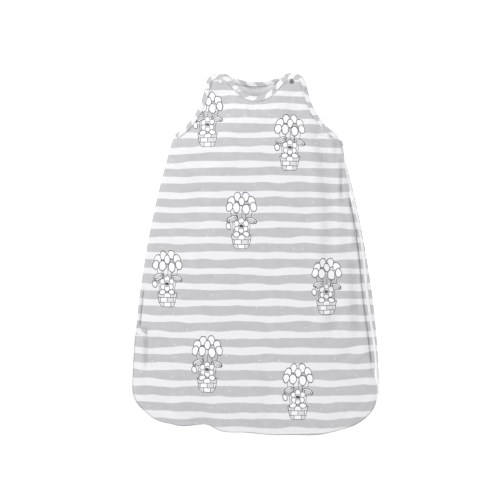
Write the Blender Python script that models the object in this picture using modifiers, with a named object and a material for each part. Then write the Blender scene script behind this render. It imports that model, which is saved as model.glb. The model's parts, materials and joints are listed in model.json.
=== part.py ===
"""A baby sleeping bag with snapped shoulder straps and a long zip down one side and round the hem.

Metres, +Z up, +X to the wearer's left, the front faces -Y. The seam plane between the front
and the back is y = 0, and the origin is midway between the tops of the two straps, where it hangs.
The front opens like a page about its left side, where front and back stay sewn together.
"""

import math

import bmesh
import bpy
from mathutils import Matrix, Vector

# Overall sizes of the bag.
LENGTH = 0.700  # tops of the straps to the middle of the hem
FULL_HALF_WIDTH = 0.2405  # half of the widest place
FULLEST_RISE = 0.040  # the widest place above the middle of the hem
UNDERARM_HALF = 0.160
UNDERARM_DROP = 0.122
CORNER_RADIUS = 0.080
HEM_RADIUS = 0.970

# Straps, neck and armholes, as half widths from the middle and drops from the top.
ROOT_DROP = 0.032  # the line that a front strap folds on
ROOT_INNER = 0.0315
ROOT_OUTER = 0.0995
STRAP_MIDDLE = 0.073
STRAP_END_DROP = 0.003  # a front strap ends just below the back strap it lies on
STRAP_SHOULDER = 0.0965  # outer edge of the strap, just under its round end
STRAP_SHOULDER_DROP = 0.020
FRONT_NECK_DROP = 0.0475
BACK_NECK_DROP = 0.0165
BACK_NECK_HALF = 0.052
BACK_NECK_CORNER_DROP = 0.006

# Layers of cloth and wadding.
CLOTH = 0.0010
WADDING = 0.0040
LINING = 0.0008
AIR = 0.0003  # between pieces that touch
CURVE_AIR = 0.0008  # beside a wall whose thickness is square to its slope
BINDING = 0.0009
BINDING_WIDTH = 0.0085
BINDING_AIR = 0.0008
BINDING_END = 0.04  # share of the armhole's edge left free at the underarm

# Room inside, measured from the seam plane.
SNAP_ROOM = 0.0019
FRONT_ROOM = 0.024
BACK_ROOM = 0.010  # the back lies flat at this depth
ROOM_LENGTH = 0.160  # the drop over which the room opens out
NECK_LIFT = 0.055
NECK_LIFT_HALF = 0.066
EDGE_SLACK = 0.020
LOW_START = 0.330
LOW_SPARE = 0.020

# Zip.
ZIP_TOP_GAP = 0.006  # below the underarm
ZIP_END_RISE = 0.195  # its left end above the middle of the hem
TAPE = 0.0006
TOOTH_WIDTH = 0.00225
TOOTH_HEIGHT = 0.0018
TOOTH_AIR = 0.00015
STOP_LENGTH = 0.0030
TAB_LENGTH = 0.013
TAB_THICKNESS = 0.0012
SLIDER_LENGTH = 0.011
SLIDER_WIDTH = 0.009
SLIDER_PLATE = 0.0012
SLIDER_LIP = 0.0010
PIN_RADIUS = 0.0006
PIN_AIR = 0.0003
EAR = 0.0009
PULL_WIDTH = 0.0050
PULL_LENGTH = 0.0220
PULL_THICKNESS = 0.0012

# Snaps.
SNAP_X = 0.069
SNAP_AIR = 0.0008  # between the cap and the strap's binding
CAP_RADIUS = 0.0045
CAP_HEIGHT = 0.0012
BARREL_RADIUS = 0.0015
BARREL_AIR = 0.0004
SOCKET_RADIUS = 0.0042
SOCKET_BORE = 0.0021
STUD_RADIUS = 0.0017
SNAP_FLOOR = 0.0004
SNAP_SEAT = 0.0005  # between a flange and the cloth under it

# Axes of the joints.
HINGE_OUT = 0.001  # the cover's axis, outside the left side
STRAP_AXIS_DEPTH = 0.015  # a strap's fold axis, in front of all its layers

# Fineness of the facets.
GRID_X = 0.042
GRID_Z = 0.080
FINE_GRID = 0.021
FINE_DROP = 0.130  # the finer grid ends at this drop
STRAP_GRID = 0.014
SIDE_STEPS = 10
CORNER_STEPS = 6
HEM_STEPS = 4
ARM_STEPS = 8
NECK_STEPS = 4
ROUND_STEPS = 12

FRONT, BACK = -1, 1  # which side of the seam plane
SNAP_DROP = STRAP_END_DROP + BINDING_WIDTH + SNAP_AIR + CAP_RADIUS
STACK = LINING + AIR + WADDING + CURVE_AIR + CLOTH

COLOURS = {
    "jersey": (0.72, 0.72, 0.73, 1),
    "binding": (0.80, 0.80, 0.81, 1),
    "lining": (0.86, 0.86, 0.87, 1),
    "wadding": (0.92, 0.92, 0.90, 1),
    "tape": (0.90, 0.90, 0.91, 1),
    "coil": (0.93, 0.93, 0.93, 1),
    "slider": (0.82, 0.82, 0.83, 1),
    "snap": (0.62, 0.63, 0.64, 1),
}
FINISHES = {"coil": (0.45, 0), "slider": (0.35, 0), "snap": (0.30, 0.9)}


def empty_scene():
    for old in list(bpy.data.objects):
        bpy.data.objects.remove(old)


def collection(name):
    made = bpy.data.collections.new(name)
    bpy.context.scene.collection.children.link(made)
    return made


def material(name):
    made = bpy.data.materials.get(name)
    if made is None:
        made = bpy.data.materials.new(name)
        made.use_nodes = True
        shader = made.node_tree.nodes["Principled BSDF"]
        roughness, metallic = FINISHES.get(name, (0.9, 0))
        shader.inputs["Base Color"].default_value = COLOURS[name]
        shader.inputs["Roughness"].default_value = roughness
        shader.inputs["Metallic"].default_value = metallic
    return made


# ---------------------------------------------------------------- the bag's outline


def side_circle():
    """Centre and radius of the side seam, an arc that is upright at the widest place."""
    flare = FULL_HALF_WIDTH - UNDERARM_HALF
    run = LENGTH - FULLEST_RISE - UNDERARM_DROP
    radius = (run**2 + flare**2) / (2 * flare)
    return Vector((FULL_HALF_WIDTH - radius, -(LENGTH - FULLEST_RISE))), radius


SIDE_CENTRE, SIDE_RADIUS = side_circle()
HEM_CENTRE = Vector((0, -LENGTH + HEM_RADIUS))


def corner_centre():
    """Centre of the round lower corner, inside both the side's arc and the hem's arc."""
    near, far = SIDE_RADIUS - CORNER_RADIUS, HEM_RADIUS - CORNER_RADIUS
    between = HEM_CENTRE - SIDE_CENTRE
    along = (near**2 - far**2 + between.length_squared) / (2 * between.length)
    across = math.sqrt(near**2 - along**2)
    u = between.normalized()
    return SIDE_CENTRE + u * along + Vector((u.y, -u.x)) * across


CORNER_CENTRE = corner_centre()


def side_half(z, inset=0.0):
    """Half width at the side seam at height z."""
    rise = z - SIDE_CENTRE.y
    return SIDE_CENTRE.x + math.sqrt((SIDE_RADIUS - inset) ** 2 - rise**2)


def side_angle(z, inset=0.0):
    return math.asin((z - SIDE_CENTRE.y) / (SIDE_RADIUS - inset))


def arc(centre, radius, start, end, steps):
    turns = [start + (end - start) * i / steps for i in range(steps + 1)]
    return [centre + radius * Vector((math.cos(a), math.sin(a))) for a in turns]


def half_edge(inset, top):
    """Points from height top on the right side down and round to the middle of the hem."""
    side_end = math.atan2(*(CORNER_CENTRE - SIDE_CENTRE).yx)
    hem_start = math.atan2(*(CORNER_CENTRE - HEM_CENTRE).yx)
    first = side_angle(top, inset)
    full = side_angle(-UNDERARM_DROP) - side_end
    steps = max(2, round(SIDE_STEPS * (first - side_end) / full))
    points = arc(SIDE_CENTRE, SIDE_RADIUS - inset, first, side_end, steps)
    points += arc(CORNER_CENTRE, CORNER_RADIUS - inset, side_end, hem_start, CORNER_STEPS)[1:]
    points += arc(HEM_CENTRE, HEM_RADIUS - inset, hem_start, -math.pi / 2, HEM_STEPS)[1:]
    return points


def mirrored(points):
    return [Vector((-p.x, p.y)) for p in reversed(points)]


def outer_edge(inset, top_right, top_left):
    """From the right side down, along the hem and up the left side."""
    return half_edge(inset, top_right) + mirrored(half_edge(inset, top_left))[1:]


def bezier(a, b, c, d, steps):
    points = []
    for i in range(steps + 1):
        t = i / steps
        u = 1 - t
        points.append(a * u**3 + b * 3 * u * u * t + c * 3 * u * t * t + d * t**3)
    return points


def root_points(air):
    """Inner and outer ends of a strap's fold line, moved up by air."""
    z = -ROOT_DROP + air
    return Vector((ROOT_INNER, z)), Vector((ROOT_OUTER, z))


def armhole(air=0.0):
    """From the underarm up to the fold line."""
    top = root_points(air)[1]
    low = Vector((UNDERARM_HALF, -UNDERARM_DROP))
    return bezier(low, low + Vector((-0.032, 0.019)), top + Vector((0.0075, -0.040)), top, ARM_STEPS)


def front_neck(air=0.0):
    """From the middle of the front neck up to the fold line."""
    low, top = Vector((0, -FRONT_NECK_DROP)), root_points(air)[0]
    return bezier(low, low + Vector((0.014, 0)), top + Vector((-0.0075, -0.0085)), top, NECK_STEPS)


def strap_end(end_drop, inner):
    """The round end of a strap, from its inner point over the top to its shoulder."""
    top = Vector((STRAP_MIDDLE, -end_drop))
    shoulder = Vector((STRAP_SHOULDER, -STRAP_SHOULDER_DROP))
    lean = (inner - top).length
    first = inner + Vector((0.25, 0.29)) * lean
    rise = bezier(inner, first, top - Vector((0.36 * lean, 0)), top, 7)
    fall = bezier(top, top + Vector((0.013, 0)), shoulder + Vector((-0.002, 0.011)), shoulder, 5)
    return rise + fall[1:]


def front_strap_edge(air):
    inner, outer = root_points(air)
    return strap_end(STRAP_END_DROP, inner) + [outer]


def back_top_edge():
    """The back's edge from the middle of the neck over the strap to its fold height."""
    corner = Vector((BACK_NECK_HALF, -BACK_NECK_CORNER_DROP))
    low = Vector((0, -BACK_NECK_DROP))
    neck = bezier(low, low + Vector((0.020, 0)), corner + Vector((-0.014, -0.005)), corner, NECK_STEPS)
    return neck[:-1] + strap_end(0.0, corner) + [root_points(0)[1]]


def front_outline(inset):
    air = -AIR / 2
    right = half_edge(inset, -UNDERARM_DROP)
    arm = armhole(air)[1:]
    top = [root_points(air)[0]]
    neck = list(reversed(front_neck(air)))[1:]
    half = list(reversed(right)) + arm + top + neck
    return half + [Vector((-p.x, p.y)) for p in reversed(half[1:-1])]


def back_outline(inset):
    right = half_edge(inset, -UNDERARM_DROP)
    half = list(reversed(right)) + armhole()[1:] + list(reversed(back_top_edge()))[1:]
    return half + [Vector((-p.x, p.y)) for p in reversed(half[1:-1])]


def strap_outline(sign):
    points = front_strap_edge(AIR / 2)
    return [Vector((sign * p.x, p.y)) for p in points]


# ---------------------------------------------------------------- the bag's depth


def smooth(t):
    t = min(max(t, 0.0), 1.0)
    return t * t * (3 - 2 * t)


def room(x, z, side):
    """Distance of the lining's inner face from the seam plane."""
    lift = NECK_LIFT * max(0.0, 1 - (x / NECK_LIFT_HALF) ** 2)
    start = -(ROOT_DROP + 0.002) + lift
    opening = smooth((start - z) / ROOM_LENGTH)
    spread = side_half(min(z, -UNDERARM_DROP)) + EDGE_SLACK
    across = max(0.0, 1 - (x / spread) ** 2)
    low_length = LENGTH - LOW_START + LOW_SPARE
    down = 1 - max(0.0, (-z - LOW_START) / low_length) ** 4
    deep = FRONT_ROOM * opening * across * down
    if side == BACK:
        deep = min(deep, BACK_ROOM)
    return SNAP_ROOM + deep


# ---------------------------------------------------------------- making pieces


def add(name, mesh, stuff, group, place=Matrix.Identity(4)):
    made = bpy.data.objects.new(name, mesh)
    made.matrix_world = place
    made.data.materials.append(material(stuff))
    group.objects.link(made)
    return made


def finished(bm, name):
    bmesh.ops.recalc_face_normals(bm, faces=bm.faces[:])
    mesh = bpy.data.meshes.new(name)
    bm.to_mesh(mesh)
    bm.free()
    return mesh


def cut_planes(start, end, step, axis):
    """Planes square to an axis, at every step between start and end."""
    planes = []
    for i in range(math.ceil(start / step), math.floor(end / step) + 1):
        planes.append((axis * step * i, axis))
    return planes


def cut_flat(outline):
    """A flat cloth in the seam plane, cut to the outline and divided into small facets,
    each square one with a point at its middle."""
    bm = bmesh.new()
    bm.faces.new([bm.verts.new((p.x, 0, p.y)) for p in outline])
    across, up = Vector((1, 0, 0)), Vector((0, 0, 1))
    low, high = min(p.y for p in outline), max(p.y for p in outline)
    left, right = min(p.x for p in outline), max(p.x for p in outline)
    if low > -FINE_DROP:
        planes = cut_planes(left, right, STRAP_GRID, across) + cut_planes(low, high, STRAP_GRID, up)
    else:
        planes = cut_planes(left, right, GRID_X, across)
        planes += cut_planes(low, -FINE_DROP, GRID_Z, up)
        planes += cut_planes(-FINE_DROP, high, FINE_GRID, up)
    for place, normal in planes:
        geometry = bm.verts[:] + bm.edges[:] + bm.faces[:]
        bmesh.ops.bisect_plane(bm, geom=geometry, dist=1e-6, plane_co=place, plane_no=normal)
    squares = [f for f in bm.faces if len(f.verts) == 4]
    bmesh.ops.poke(bm, faces=squares)
    bmesh.ops.triangulate(bm, faces=[f for f in bm.faces if len(f.verts) > 3])
    return bm


def layer(name, outline, side, depth, thickness, stuff, group):
    """A closed layer whose inner face lies depth outside the room."""
    bm = cut_flat(outline)
    inner = bm.verts[:]
    raised = bmesh.ops.extrude_face_region(bm, geom=bm.faces[:], use_keep_orig=True)
    outer = [g for g in raised["geom"] if isinstance(g, bmesh.types.BMVert)]
    for verts, out in ((inner, depth), (outer, depth + thickness)):
        for v in verts:
            v.co.y = side * (room(v.co.x, v.co.z, side) + out)
    return add(name, finished(bm, name), stuff, group)


def shell(name, outline, side, edge_top, group):
    """The outer cloth with its turned-in side and hem, which reach to the seam plane."""
    bm = cut_flat(outline)
    for v in bm.verts:
        v.co.y = side * (room(v.co.x, v.co.z, side) + STACK)
    near = 1e-5
    rim = []
    for edge in bm.edges:
        low = all(v.co.z < -edge_top + near for v in edge.verts)
        if edge.is_boundary and low:
            rim.append(edge)
    turned = bmesh.ops.extrude_edge_only(bm, edges=rim)
    for g in turned["geom"]:
        if isinstance(g, bmesh.types.BMVert):
            g.co.y = side * AIR
    bmesh.ops.recalc_face_normals(bm, faces=bm.faces[:])
    if sum(f.normal.y * f.calc_area() for f in bm.faces) * side < 0:
        bmesh.ops.reverse_faces(bm, faces=bm.faces[:])
    mesh = bpy.data.meshes.new(name)
    bm.to_mesh(mesh)
    bm.free()
    made = add(name, mesh, "jersey", group)
    thick = made.modifiers.new("cloth", "SOLIDIFY")
    thick.thickness = CLOTH
    thick.offset = -1
    thick.use_even_offset = True
    return made


def swept(name, rows, stuff, group):
    """A closed bar through rows of points, each row a closed section of the bar."""
    bm = bmesh.new()
    rings = [[bm.verts.new(p) for p in row] for row in rows]
    count = len(rings[0])
    for a, b in zip(rings, rings[1:]):
        for i in range(count):
            j = (i + 1) % count
            bm.faces.new((a[i], a[j], b[j], b[i]))
    bm.faces.new(list(reversed(rings[0])))
    bm.faces.new(rings[-1])
    bmesh.ops.triangulate(bm, faces=bm.faces[:])
    return add(name, finished(bm, name), stuff, group)


def inward(points, outside, first=None, last=None):
    """Unit directions into the cloth at each point of an edge; outside is +1 or -1.
    first and last, if given, are the directions at the two ends, made long enough
    to keep the band's width."""
    directions = []
    for i, p in enumerate(points):
        along = (points[min(i + 1, len(points) - 1)] - points[max(i - 1, 0)]).normalized()
        directions.append(Vector((along.y, -along.x)) * outside)
    for i, wanted in ((0, first), (-1, last)):
        if wanted is not None:
            directions[i] = wanted / directions[i].dot(wanted)
    return directions


def binding(name, points, outside, side, group, first=None, last=None):
    """A folded band over the cut edge of all three layers: two legs and the fold between them."""
    rows = []
    for p, into in zip(points, inward(points, outside, first, last)):
        tip = p + into * BINDING_WIDTH
        bare = into.normalized()
        fold_in = p - bare * BINDING_AIR
        fold_out = p - bare * (BINDING_AIR + BINDING)
        section = []
        for q, out in (
            (tip, STACK + BINDING_AIR + BINDING),
            (fold_out, STACK + BINDING_AIR + BINDING),
            (fold_out, -BINDING_AIR - BINDING),
            (tip, -BINDING_AIR - BINDING),
            (tip, -BINDING_AIR),
            (fold_in, -BINDING_AIR),
            (fold_in, STACK + BINDING_AIR),
            (tip, STACK + BINDING_AIR),
        ):
            section.append((q.x, side * (room(q.x, q.y, side) + out), q.y))
        rows.append(section)
    return swept(name, rows, "binding", group)


def disc_stack(name, profile, x, z, stuff, group):
    """A turned piece on an axis along Y at (x, z): profile is (radius, y) pairs."""
    curve = bmesh.new()
    verts = [curve.verts.new((r, 0, y)) for r, y in profile]
    for a, b in zip(verts, verts[1:]):
        curve.edges.new((a, b))
    mesh = bpy.data.meshes.new(name)
    curve.to_mesh(mesh)
    curve.free()
    place = Matrix.Translation((x, 0, z)) @ Matrix.Rotation(-math.pi / 2, 4, "X")
    made = add(name, mesh, stuff, group, place)
    turn = made.modifiers.new("turn", "SCREW")
    turn.steps = turn.render_steps = ROUND_STEPS
    turn.use_merge_vertices = True
    turn.merge_threshold = 0.00001
    return made


def hole(made, x, z, cutters):
    """A round hole for a snap's barrel through a strap's layer."""
    bpy.ops.mesh.primitive_cylinder_add(
        vertices=ROUND_STEPS // 2,
        radius=BARREL_RADIUS + BARREL_AIR,
        depth=4 * STACK,
        location=(x, 0, z),
        rotation=(math.pi / 2, 0, 0),
    )
    cutter = bpy.context.object
    cutter.name = "cut_" + made.name
    for group in list(cutter.users_collection):
        group.objects.unlink(cutter)
    cutters.objects.link(cutter)
    cutter.hide_render = True
    cutter.display_type = "WIRE"
    cut = made.modifiers.new("snap hole", "BOOLEAN")
    cut.object = cutter


# ---------------------------------------------------------------- the pieces


def panels(group, cutters):
    """Outer cloth, wadding and lining of the front and of the back."""
    inset = CLOTH + AIR
    for word, side, outline in (("front", FRONT, front_outline), ("back", BACK, back_outline)):
        outer = shell(word + "_shell", outline(0), side, UNDERARM_DROP, group)
        fill = layer(word + "_wadding", outline(inset), side, LINING + AIR, WADDING, "wadding", group)
        inner = layer(word + "_lining", outline(inset), side, 0, LINING, "lining", group)
        if side == BACK:
            for made in (outer, fill, inner):
                for sign in (-1, 1):
                    hole(made, sign * SNAP_X, -SNAP_DROP, cutters)


def front_straps(group, cutters):
    """The two front straps, above their fold lines."""
    for word, sign in (("left", -1), ("right", 1)):
        outline = strap_outline(sign)
        name = "strap_" + word
        depth = LINING + AIR
        made = [
            layer(name + "_lining", outline, FRONT, 0, LINING, "lining", group),
            layer(name + "_wadding", outline, FRONT, depth, WADDING, "wadding", group),
            layer(name + "_shell", outline, FRONT, depth + WADDING + CURVE_AIR, CLOTH, "jersey", group),
        ]
        for m in made:
            hole(m, sign * SNAP_X, -SNAP_DROP, cutters)


def flipped(points, sign):
    return [Vector((sign * p.x, p.y)) for p in points]


def bindings(group):
    """The bias bands on the neck, the armholes and the strap ends."""
    level = Vector((1, 0))
    neck = front_neck(-AIR / 2)
    whole = [Vector((-p.x, p.y)) for p in reversed(neck)] + neck[1:]
    binding("neck_binding_front", whole, 1, FRONT, group, -level, level)
    back_half = back_top_edge()
    for word, sign in (("left", -1), ("right", 1)):
        arm = armhole(-AIR / 2)
        start = arm[0].lerp(arm[1], BINDING_END * ARM_STEPS)
        arm[0] = start
        binding("arm_binding_front_" + word, flipped(arm, sign), -sign, FRONT, group, None, -level * sign)
        strap = flipped(front_strap_edge(AIR / 2), sign)
        binding("strap_binding_" + word, strap, sign, FRONT, group, level * sign, -level * sign)
    arm = armhole()
    arm[0] = arm[0].lerp(arm[1], BINDING_END * ARM_STEPS)
    right = arm + list(reversed(back_half))[1:]
    around = right + [Vector((-p.x, p.y)) for p in reversed(right[:-1])]
    binding("back_binding", around, -1, BACK, group)


def ribbon(name, low, high, y_low, y_high, stuff, group):
    """A bar along two edges low and high, from y_low to y_high, which may follow the edge."""
    rows = []
    for a, b in zip(low, high):
        near, far = y_low(a), y_high(a)
        rows.append([(a.x, near, a.y), (b.x, near, b.y), (b.x, far, b.y), (a.x, far, a.y)])
    return swept(name, rows, stuff, group)


ZIP_TOP = -(UNDERARM_DROP + ZIP_TOP_GAP)
ZIP_END = -(LENGTH - ZIP_END_RISE)
TAPE_OUT = AIR + TAPE
TOOTH_IN = TAPE_OUT + AIR
TOOTH_OUT = TOOTH_IN + TOOTH_HEIGHT


def zip_chain(group):
    """Tapes on the turned-in edges, the two rows of teeth, their stops and the end tab."""
    top, end = ZIP_TOP, ZIP_END
    for word, side in (("front", FRONT), ("back", BACK)):

        def seam(p):
            return side * AIR

        def tape_far(p, side=side):
            return side * (room(p.x, p.y, side) + STACK)

        low, high = outer_edge(-AIR, top, end), outer_edge(-TAPE_OUT, top, end)
        ribbon("zip_tape_" + word, low, high, seam, tape_far, "tape", group)
        stop_z = top - STOP_LENGTH - AIR
        end_z = end - (STOP_LENGTH + AIR if side == BACK else 0)
        inner = outer_edge(-TOOTH_IN, stop_z, end_z)
        outer = outer_edge(-TOOTH_OUT, stop_z, end_z)

        def tooth_near(p, side=side):
            return side * TOOTH_AIR

        def tooth_far(p, side=side):
            return side * (TOOTH_AIR + TOOTH_WIDTH)

        ribbon("zip_teeth_" + word, inner, outer, tooth_near, tooth_far, "coil", group)
        stop_in = [side_point(top, TOOTH_IN), side_point(top - STOP_LENGTH, TOOTH_IN)]
        stop_out = [side_point(top, TOOTH_OUT), side_point(top - STOP_LENGTH, TOOTH_OUT)]
        ribbon("zip_top_stop_" + word, stop_in, stop_out, tooth_near, tooth_far, "slider", group)
    stop_in = flipped([side_point(end, TOOTH_IN), side_point(end - STOP_LENGTH, TOOTH_IN)], -1)
    stop_out = flipped([side_point(end, TOOTH_OUT), side_point(end - STOP_LENGTH, TOOTH_OUT)], -1)
    ribbon("zip_bottom_stop", stop_in, stop_out, tooth_near, tooth_far, "slider", group)
    tab_low, tab_high = end + AIR, end + TAB_LENGTH
    tab_in = flipped([side_point(tab_low, AIR), side_point(tab_high, AIR)], -1)
    tab_out = flipped([side_point(tab_low, AIR + TAB_THICKNESS), side_point(tab_high, AIR + TAB_THICKNESS)], -1)

    def tab_near(p):
        return FRONT * AIR

    def tab_far(p):
        return FRONT * (room(p.x, p.y, FRONT) + STACK)

    ribbon("zip_end_tab", tab_in, tab_out, tab_near, tab_far, "binding", group)


def side_point(z, out):
    """A point of the right side at height z, out beyond the seam."""
    a = side_angle(z, -out)
    return SIDE_CENTRE + (SIDE_RADIUS + out) * Vector((math.cos(a), math.sin(a)))


def block(bm, low, high):
    """A box from its low to its high corner, added to a mesh."""
    size = Vector(high) - Vector(low)
    place = Matrix.Translation((Vector(low) + Vector(high)) / 2) @ Matrix.Diagonal((*size, 1))
    bmesh.ops.create_cube(bm, size=1, matrix=place)


def joined(name, parts, stuff, group, place, cutters):
    """One solid from several that overlap, each a function that fills a mesh."""
    made = None
    for i, fill in enumerate(parts):
        bm = bmesh.new()
        fill(bm)
        bmesh.ops.recalc_face_normals(bm, faces=bm.faces[:])
        mesh = bpy.data.meshes.new(name)
        bm.to_mesh(mesh)
        bm.free()
        if i == 0:
            made = add(name, mesh, stuff, group, place)
            continue
        piece = add(f"cut_{name}_{i}", mesh, stuff, cutters, place)
        piece.hide_render = True
        piece.display_type = "WIRE"
        join = made.modifiers.new("join", "BOOLEAN")
        join.operation = "UNION"
        join.object = piece
    return made


SLIDER_Z = ZIP_TOP - STOP_LENGTH - SLIDER_LENGTH / 2 - AIR
PULL_RING = PIN_RADIUS + PIN_AIR + PULL_THICKNESS
PIN_OUT = TOOTH_OUT + AIR + SLIDER_PLATE + AIR + PULL_RING
PIN_UP = SLIDER_LENGTH / 2 - PULL_RING


def slider_frame():
    """The slider's own frame: X outwards, Y across the chain, Z up along the side."""
    turn = side_angle(SLIDER_Z)
    at = SIDE_CENTRE + SIDE_RADIUS * Vector((math.cos(turn), math.sin(turn)))
    return Matrix.Translation((at.x, 0, at.y)) @ Matrix.Rotation(-turn, 4, "Y")


def rod(bm, x, y_low, y_high, z, radius):
    """A round rod along Y, added to a mesh."""
    place = Matrix.Translation((x, (y_low + y_high) / 2, z)) @ Matrix.Rotation(math.pi / 2, 4, "X")
    bmesh.ops.create_cone(
        bm,
        cap_ends=True,
        segments=12,
        radius1=radius,
        radius2=radius,
        depth=y_high - y_low,
        matrix=place,
    )


def slider_and_pull(group, cutters):
    """The slider on its chain, with two ears and a pin, and the pull that hangs on the pin."""
    place = slider_frame()
    plate_in = TOOTH_OUT + AIR
    plate_out = plate_in + SLIDER_PLATE
    half, long_half = SLIDER_WIDTH / 2, SLIDER_LENGTH / 2
    lip_y = TOOTH_AIR + TOOTH_WIDTH + AIR
    eye = PIN_RADIUS + PIN_AIR
    ring, pin_z = PULL_RING, PIN_UP
    ear_in = PULL_WIDTH / 2 + PIN_AIR
    ear_top = PIN_OUT + PIN_RADIUS + EAR / 2

    def plate(bm):
        block(bm, (plate_in, -half, -long_half), (plate_out, half, long_half))

    def lip(bm):
        block(bm, (TOOTH_IN, lip_y, -long_half), (plate_in + SLIDER_PLATE / 2, lip_y + SLIDER_LIP, long_half))

    def ear(sign):
        def fill(bm):
            ends = sorted((sign * ear_in, sign * (ear_in + EAR)))
            low = (plate_out - SLIDER_PLATE / 2, ends[0], pin_z - EAR)
            block(bm, low, (ear_top, ends[1], pin_z + EAR))

        return fill

    def pin(bm):
        rod(bm, PIN_OUT, -ear_in - EAR / 2, ear_in + EAR / 2, pin_z, PIN_RADIUS)

    joined("zip_slider", (plate, lip, ear(-1), ear(1), pin), "slider", group, place, cutters)

    pull_place = place @ Matrix.Translation((PIN_OUT, 0, pin_z))
    half_pull = PULL_WIDTH / 2

    def tab(bm):
        block(bm, (-ring, -half_pull, -PULL_LENGTH), (-ring + PULL_THICKNESS, half_pull, 0))

    def eye_ring(bm):
        rod(bm, 0, -half_pull, half_pull, 0, ring)

    pull = joined("zip_pull", (tab, eye_ring), "slider", group, pull_place, cutters)
    bm = bmesh.new()
    rod(bm, 0, -PULL_WIDTH, PULL_WIDTH, 0, eye)
    bmesh.ops.recalc_face_normals(bm, faces=bm.faces[:])
    mesh = bpy.data.meshes.new("cut_pull_eye")
    bm.to_mesh(mesh)
    bm.free()
    cutter = add("cut_pull_eye", mesh, "slider", cutters, pull_place)
    cutter.hide_render = True
    cutter.display_type = "WIRE"
    cut = pull.modifiers.new("eye", "BOOLEAN")
    cut.object = cutter


def joint_axis(name, place, along, members, group):
    """An empty on a joint's axis, its X along the axis, which the moving pieces hang from."""
    pivot = bpy.data.objects.new(name, None)
    turn = Vector((1, 0, 0)).rotation_difference(Vector(along)).to_matrix().to_4x4()
    pivot.matrix_world = Matrix.Translation(place) @ turn
    group.objects.link(pivot)
    for made in group.objects[:]:
        if made.type == "MESH" and made.name.startswith(members):
            made.parent = pivot
            made.matrix_parent_inverse = pivot.matrix_world.inverted()


def joints(group):
    """The axes of the cover, the straps, the slider and the pull."""
    middle = side_angle((-UNDERARM_DROP + ZIP_END) / 2)
    at = SIDE_CENTRE + (SIDE_RADIUS + HINGE_OUT) * Vector((math.cos(middle), math.sin(middle)))
    cover = ("front_", "neck_", "arm_", "zip_tape_front", "zip_teeth_front", "zip_top_stop_front", "zip_end")
    joint_axis("axis_cover", (-at.x, 0, at.y), (-math.sin(middle), 0, -math.cos(middle)), cover, group)
    for word, sign in (("left", -1), ("right", 1)):
        strap = ("strap_" + word, "strap_binding_" + word, f"snap_{word}_cap", f"snap_{word}_socket")
        place = (sign * SNAP_X, -STRAP_AXIS_DEPTH, -ROOT_DROP)
        joint_axis("axis_strap_" + word, place, (1, 0, 0), strap, group)
    centre = (SIDE_CENTRE.x, 0, SIDE_CENTRE.y)
    joint_axis("axis_slider", centre, (0, 1, 0), ("zip_slider",), group)
    pin = slider_frame() @ Vector((PIN_OUT, 0, PIN_UP))
    joint_axis("axis_pull", pin, (0, -1, 0), ("zip_pull",), group)


def snaps(group):
    """Each snap: a cap and socket on the front strap, a stud and a rear cap on the back strap."""
    face = SNAP_ROOM + STACK + SNAP_SEAT
    inner = SNAP_ROOM - AIR
    socket_out = AIR - 0.0001
    floor = -inner + SNAP_FLOOR
    for word, sign in (("left", -1), ("right", 1)):
        x, z = sign * SNAP_X, -SNAP_DROP
        barrel_end = -inner - AIR
        cap = [
            (0, barrel_end),
            (BARREL_RADIUS, barrel_end),
            (BARREL_RADIUS, -face),
            (CAP_RADIUS, -face),
            (CAP_RADIUS * 0.96, -face - CAP_HEIGHT * 0.55),
            (CAP_RADIUS * 0.72, -face - CAP_HEIGHT),
            (0, -face - CAP_HEIGHT * 0.92),
        ]
        disc_stack(f"snap_{word}_cap", cap, x, z, "snap", group)
        socket = [
            (0, -inner),
            (SOCKET_RADIUS, -inner),
            (SOCKET_RADIUS, socket_out - 0.0005),
            (SOCKET_RADIUS * 0.85, socket_out),
            (SOCKET_BORE, socket_out),
            (SOCKET_BORE, floor),
            (0, floor),
        ]
        disc_stack(f"snap_{word}_socket", list(reversed(socket)), x, z, "snap", group)
        stud_face = socket_out + AIR
        stud_tip = floor + AIR
        stud = [
            (0, inner),
            (SOCKET_RADIUS, inner),
            (SOCKET_RADIUS, stud_face),
            (STUD_RADIUS * 0.85, stud_face),
            (STUD_RADIUS, (stud_face + stud_tip) / 2),
            (STUD_RADIUS * 0.7, stud_tip),
            (0, stud_tip),
        ]
        disc_stack(f"snap_{word}_stud", stud, x, z, "snap", group)
        post = [
            (0, inner + AIR),
            (BARREL_RADIUS, inner + AIR),
            (BARREL_RADIUS, face),
            (CAP_RADIUS, face),
            (CAP_RADIUS * 0.96, face + CAP_HEIGHT * 0.55),
            (CAP_RADIUS * 0.72, face + CAP_HEIGHT),
            (0, face + CAP_HEIGHT),
        ]
        disc_stack(f"snap_{word}_post", list(reversed(post)), x, z, "snap", group)


def main():
    empty_scene()
    bag = collection("baby_sleeping_bag")
    cutters = collection("cutters")
    panels(bag, cutters)
    front_straps(bag, cutters)
    bindings(bag)
    zip_chain(bag)
    slider_and_pull(bag, cutters)
    snaps(bag)
    joints(bag)


main()
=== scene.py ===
import json
import math

import bmesh
import bpy
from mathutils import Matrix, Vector
from mathutils.kdtree import KDTree

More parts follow.
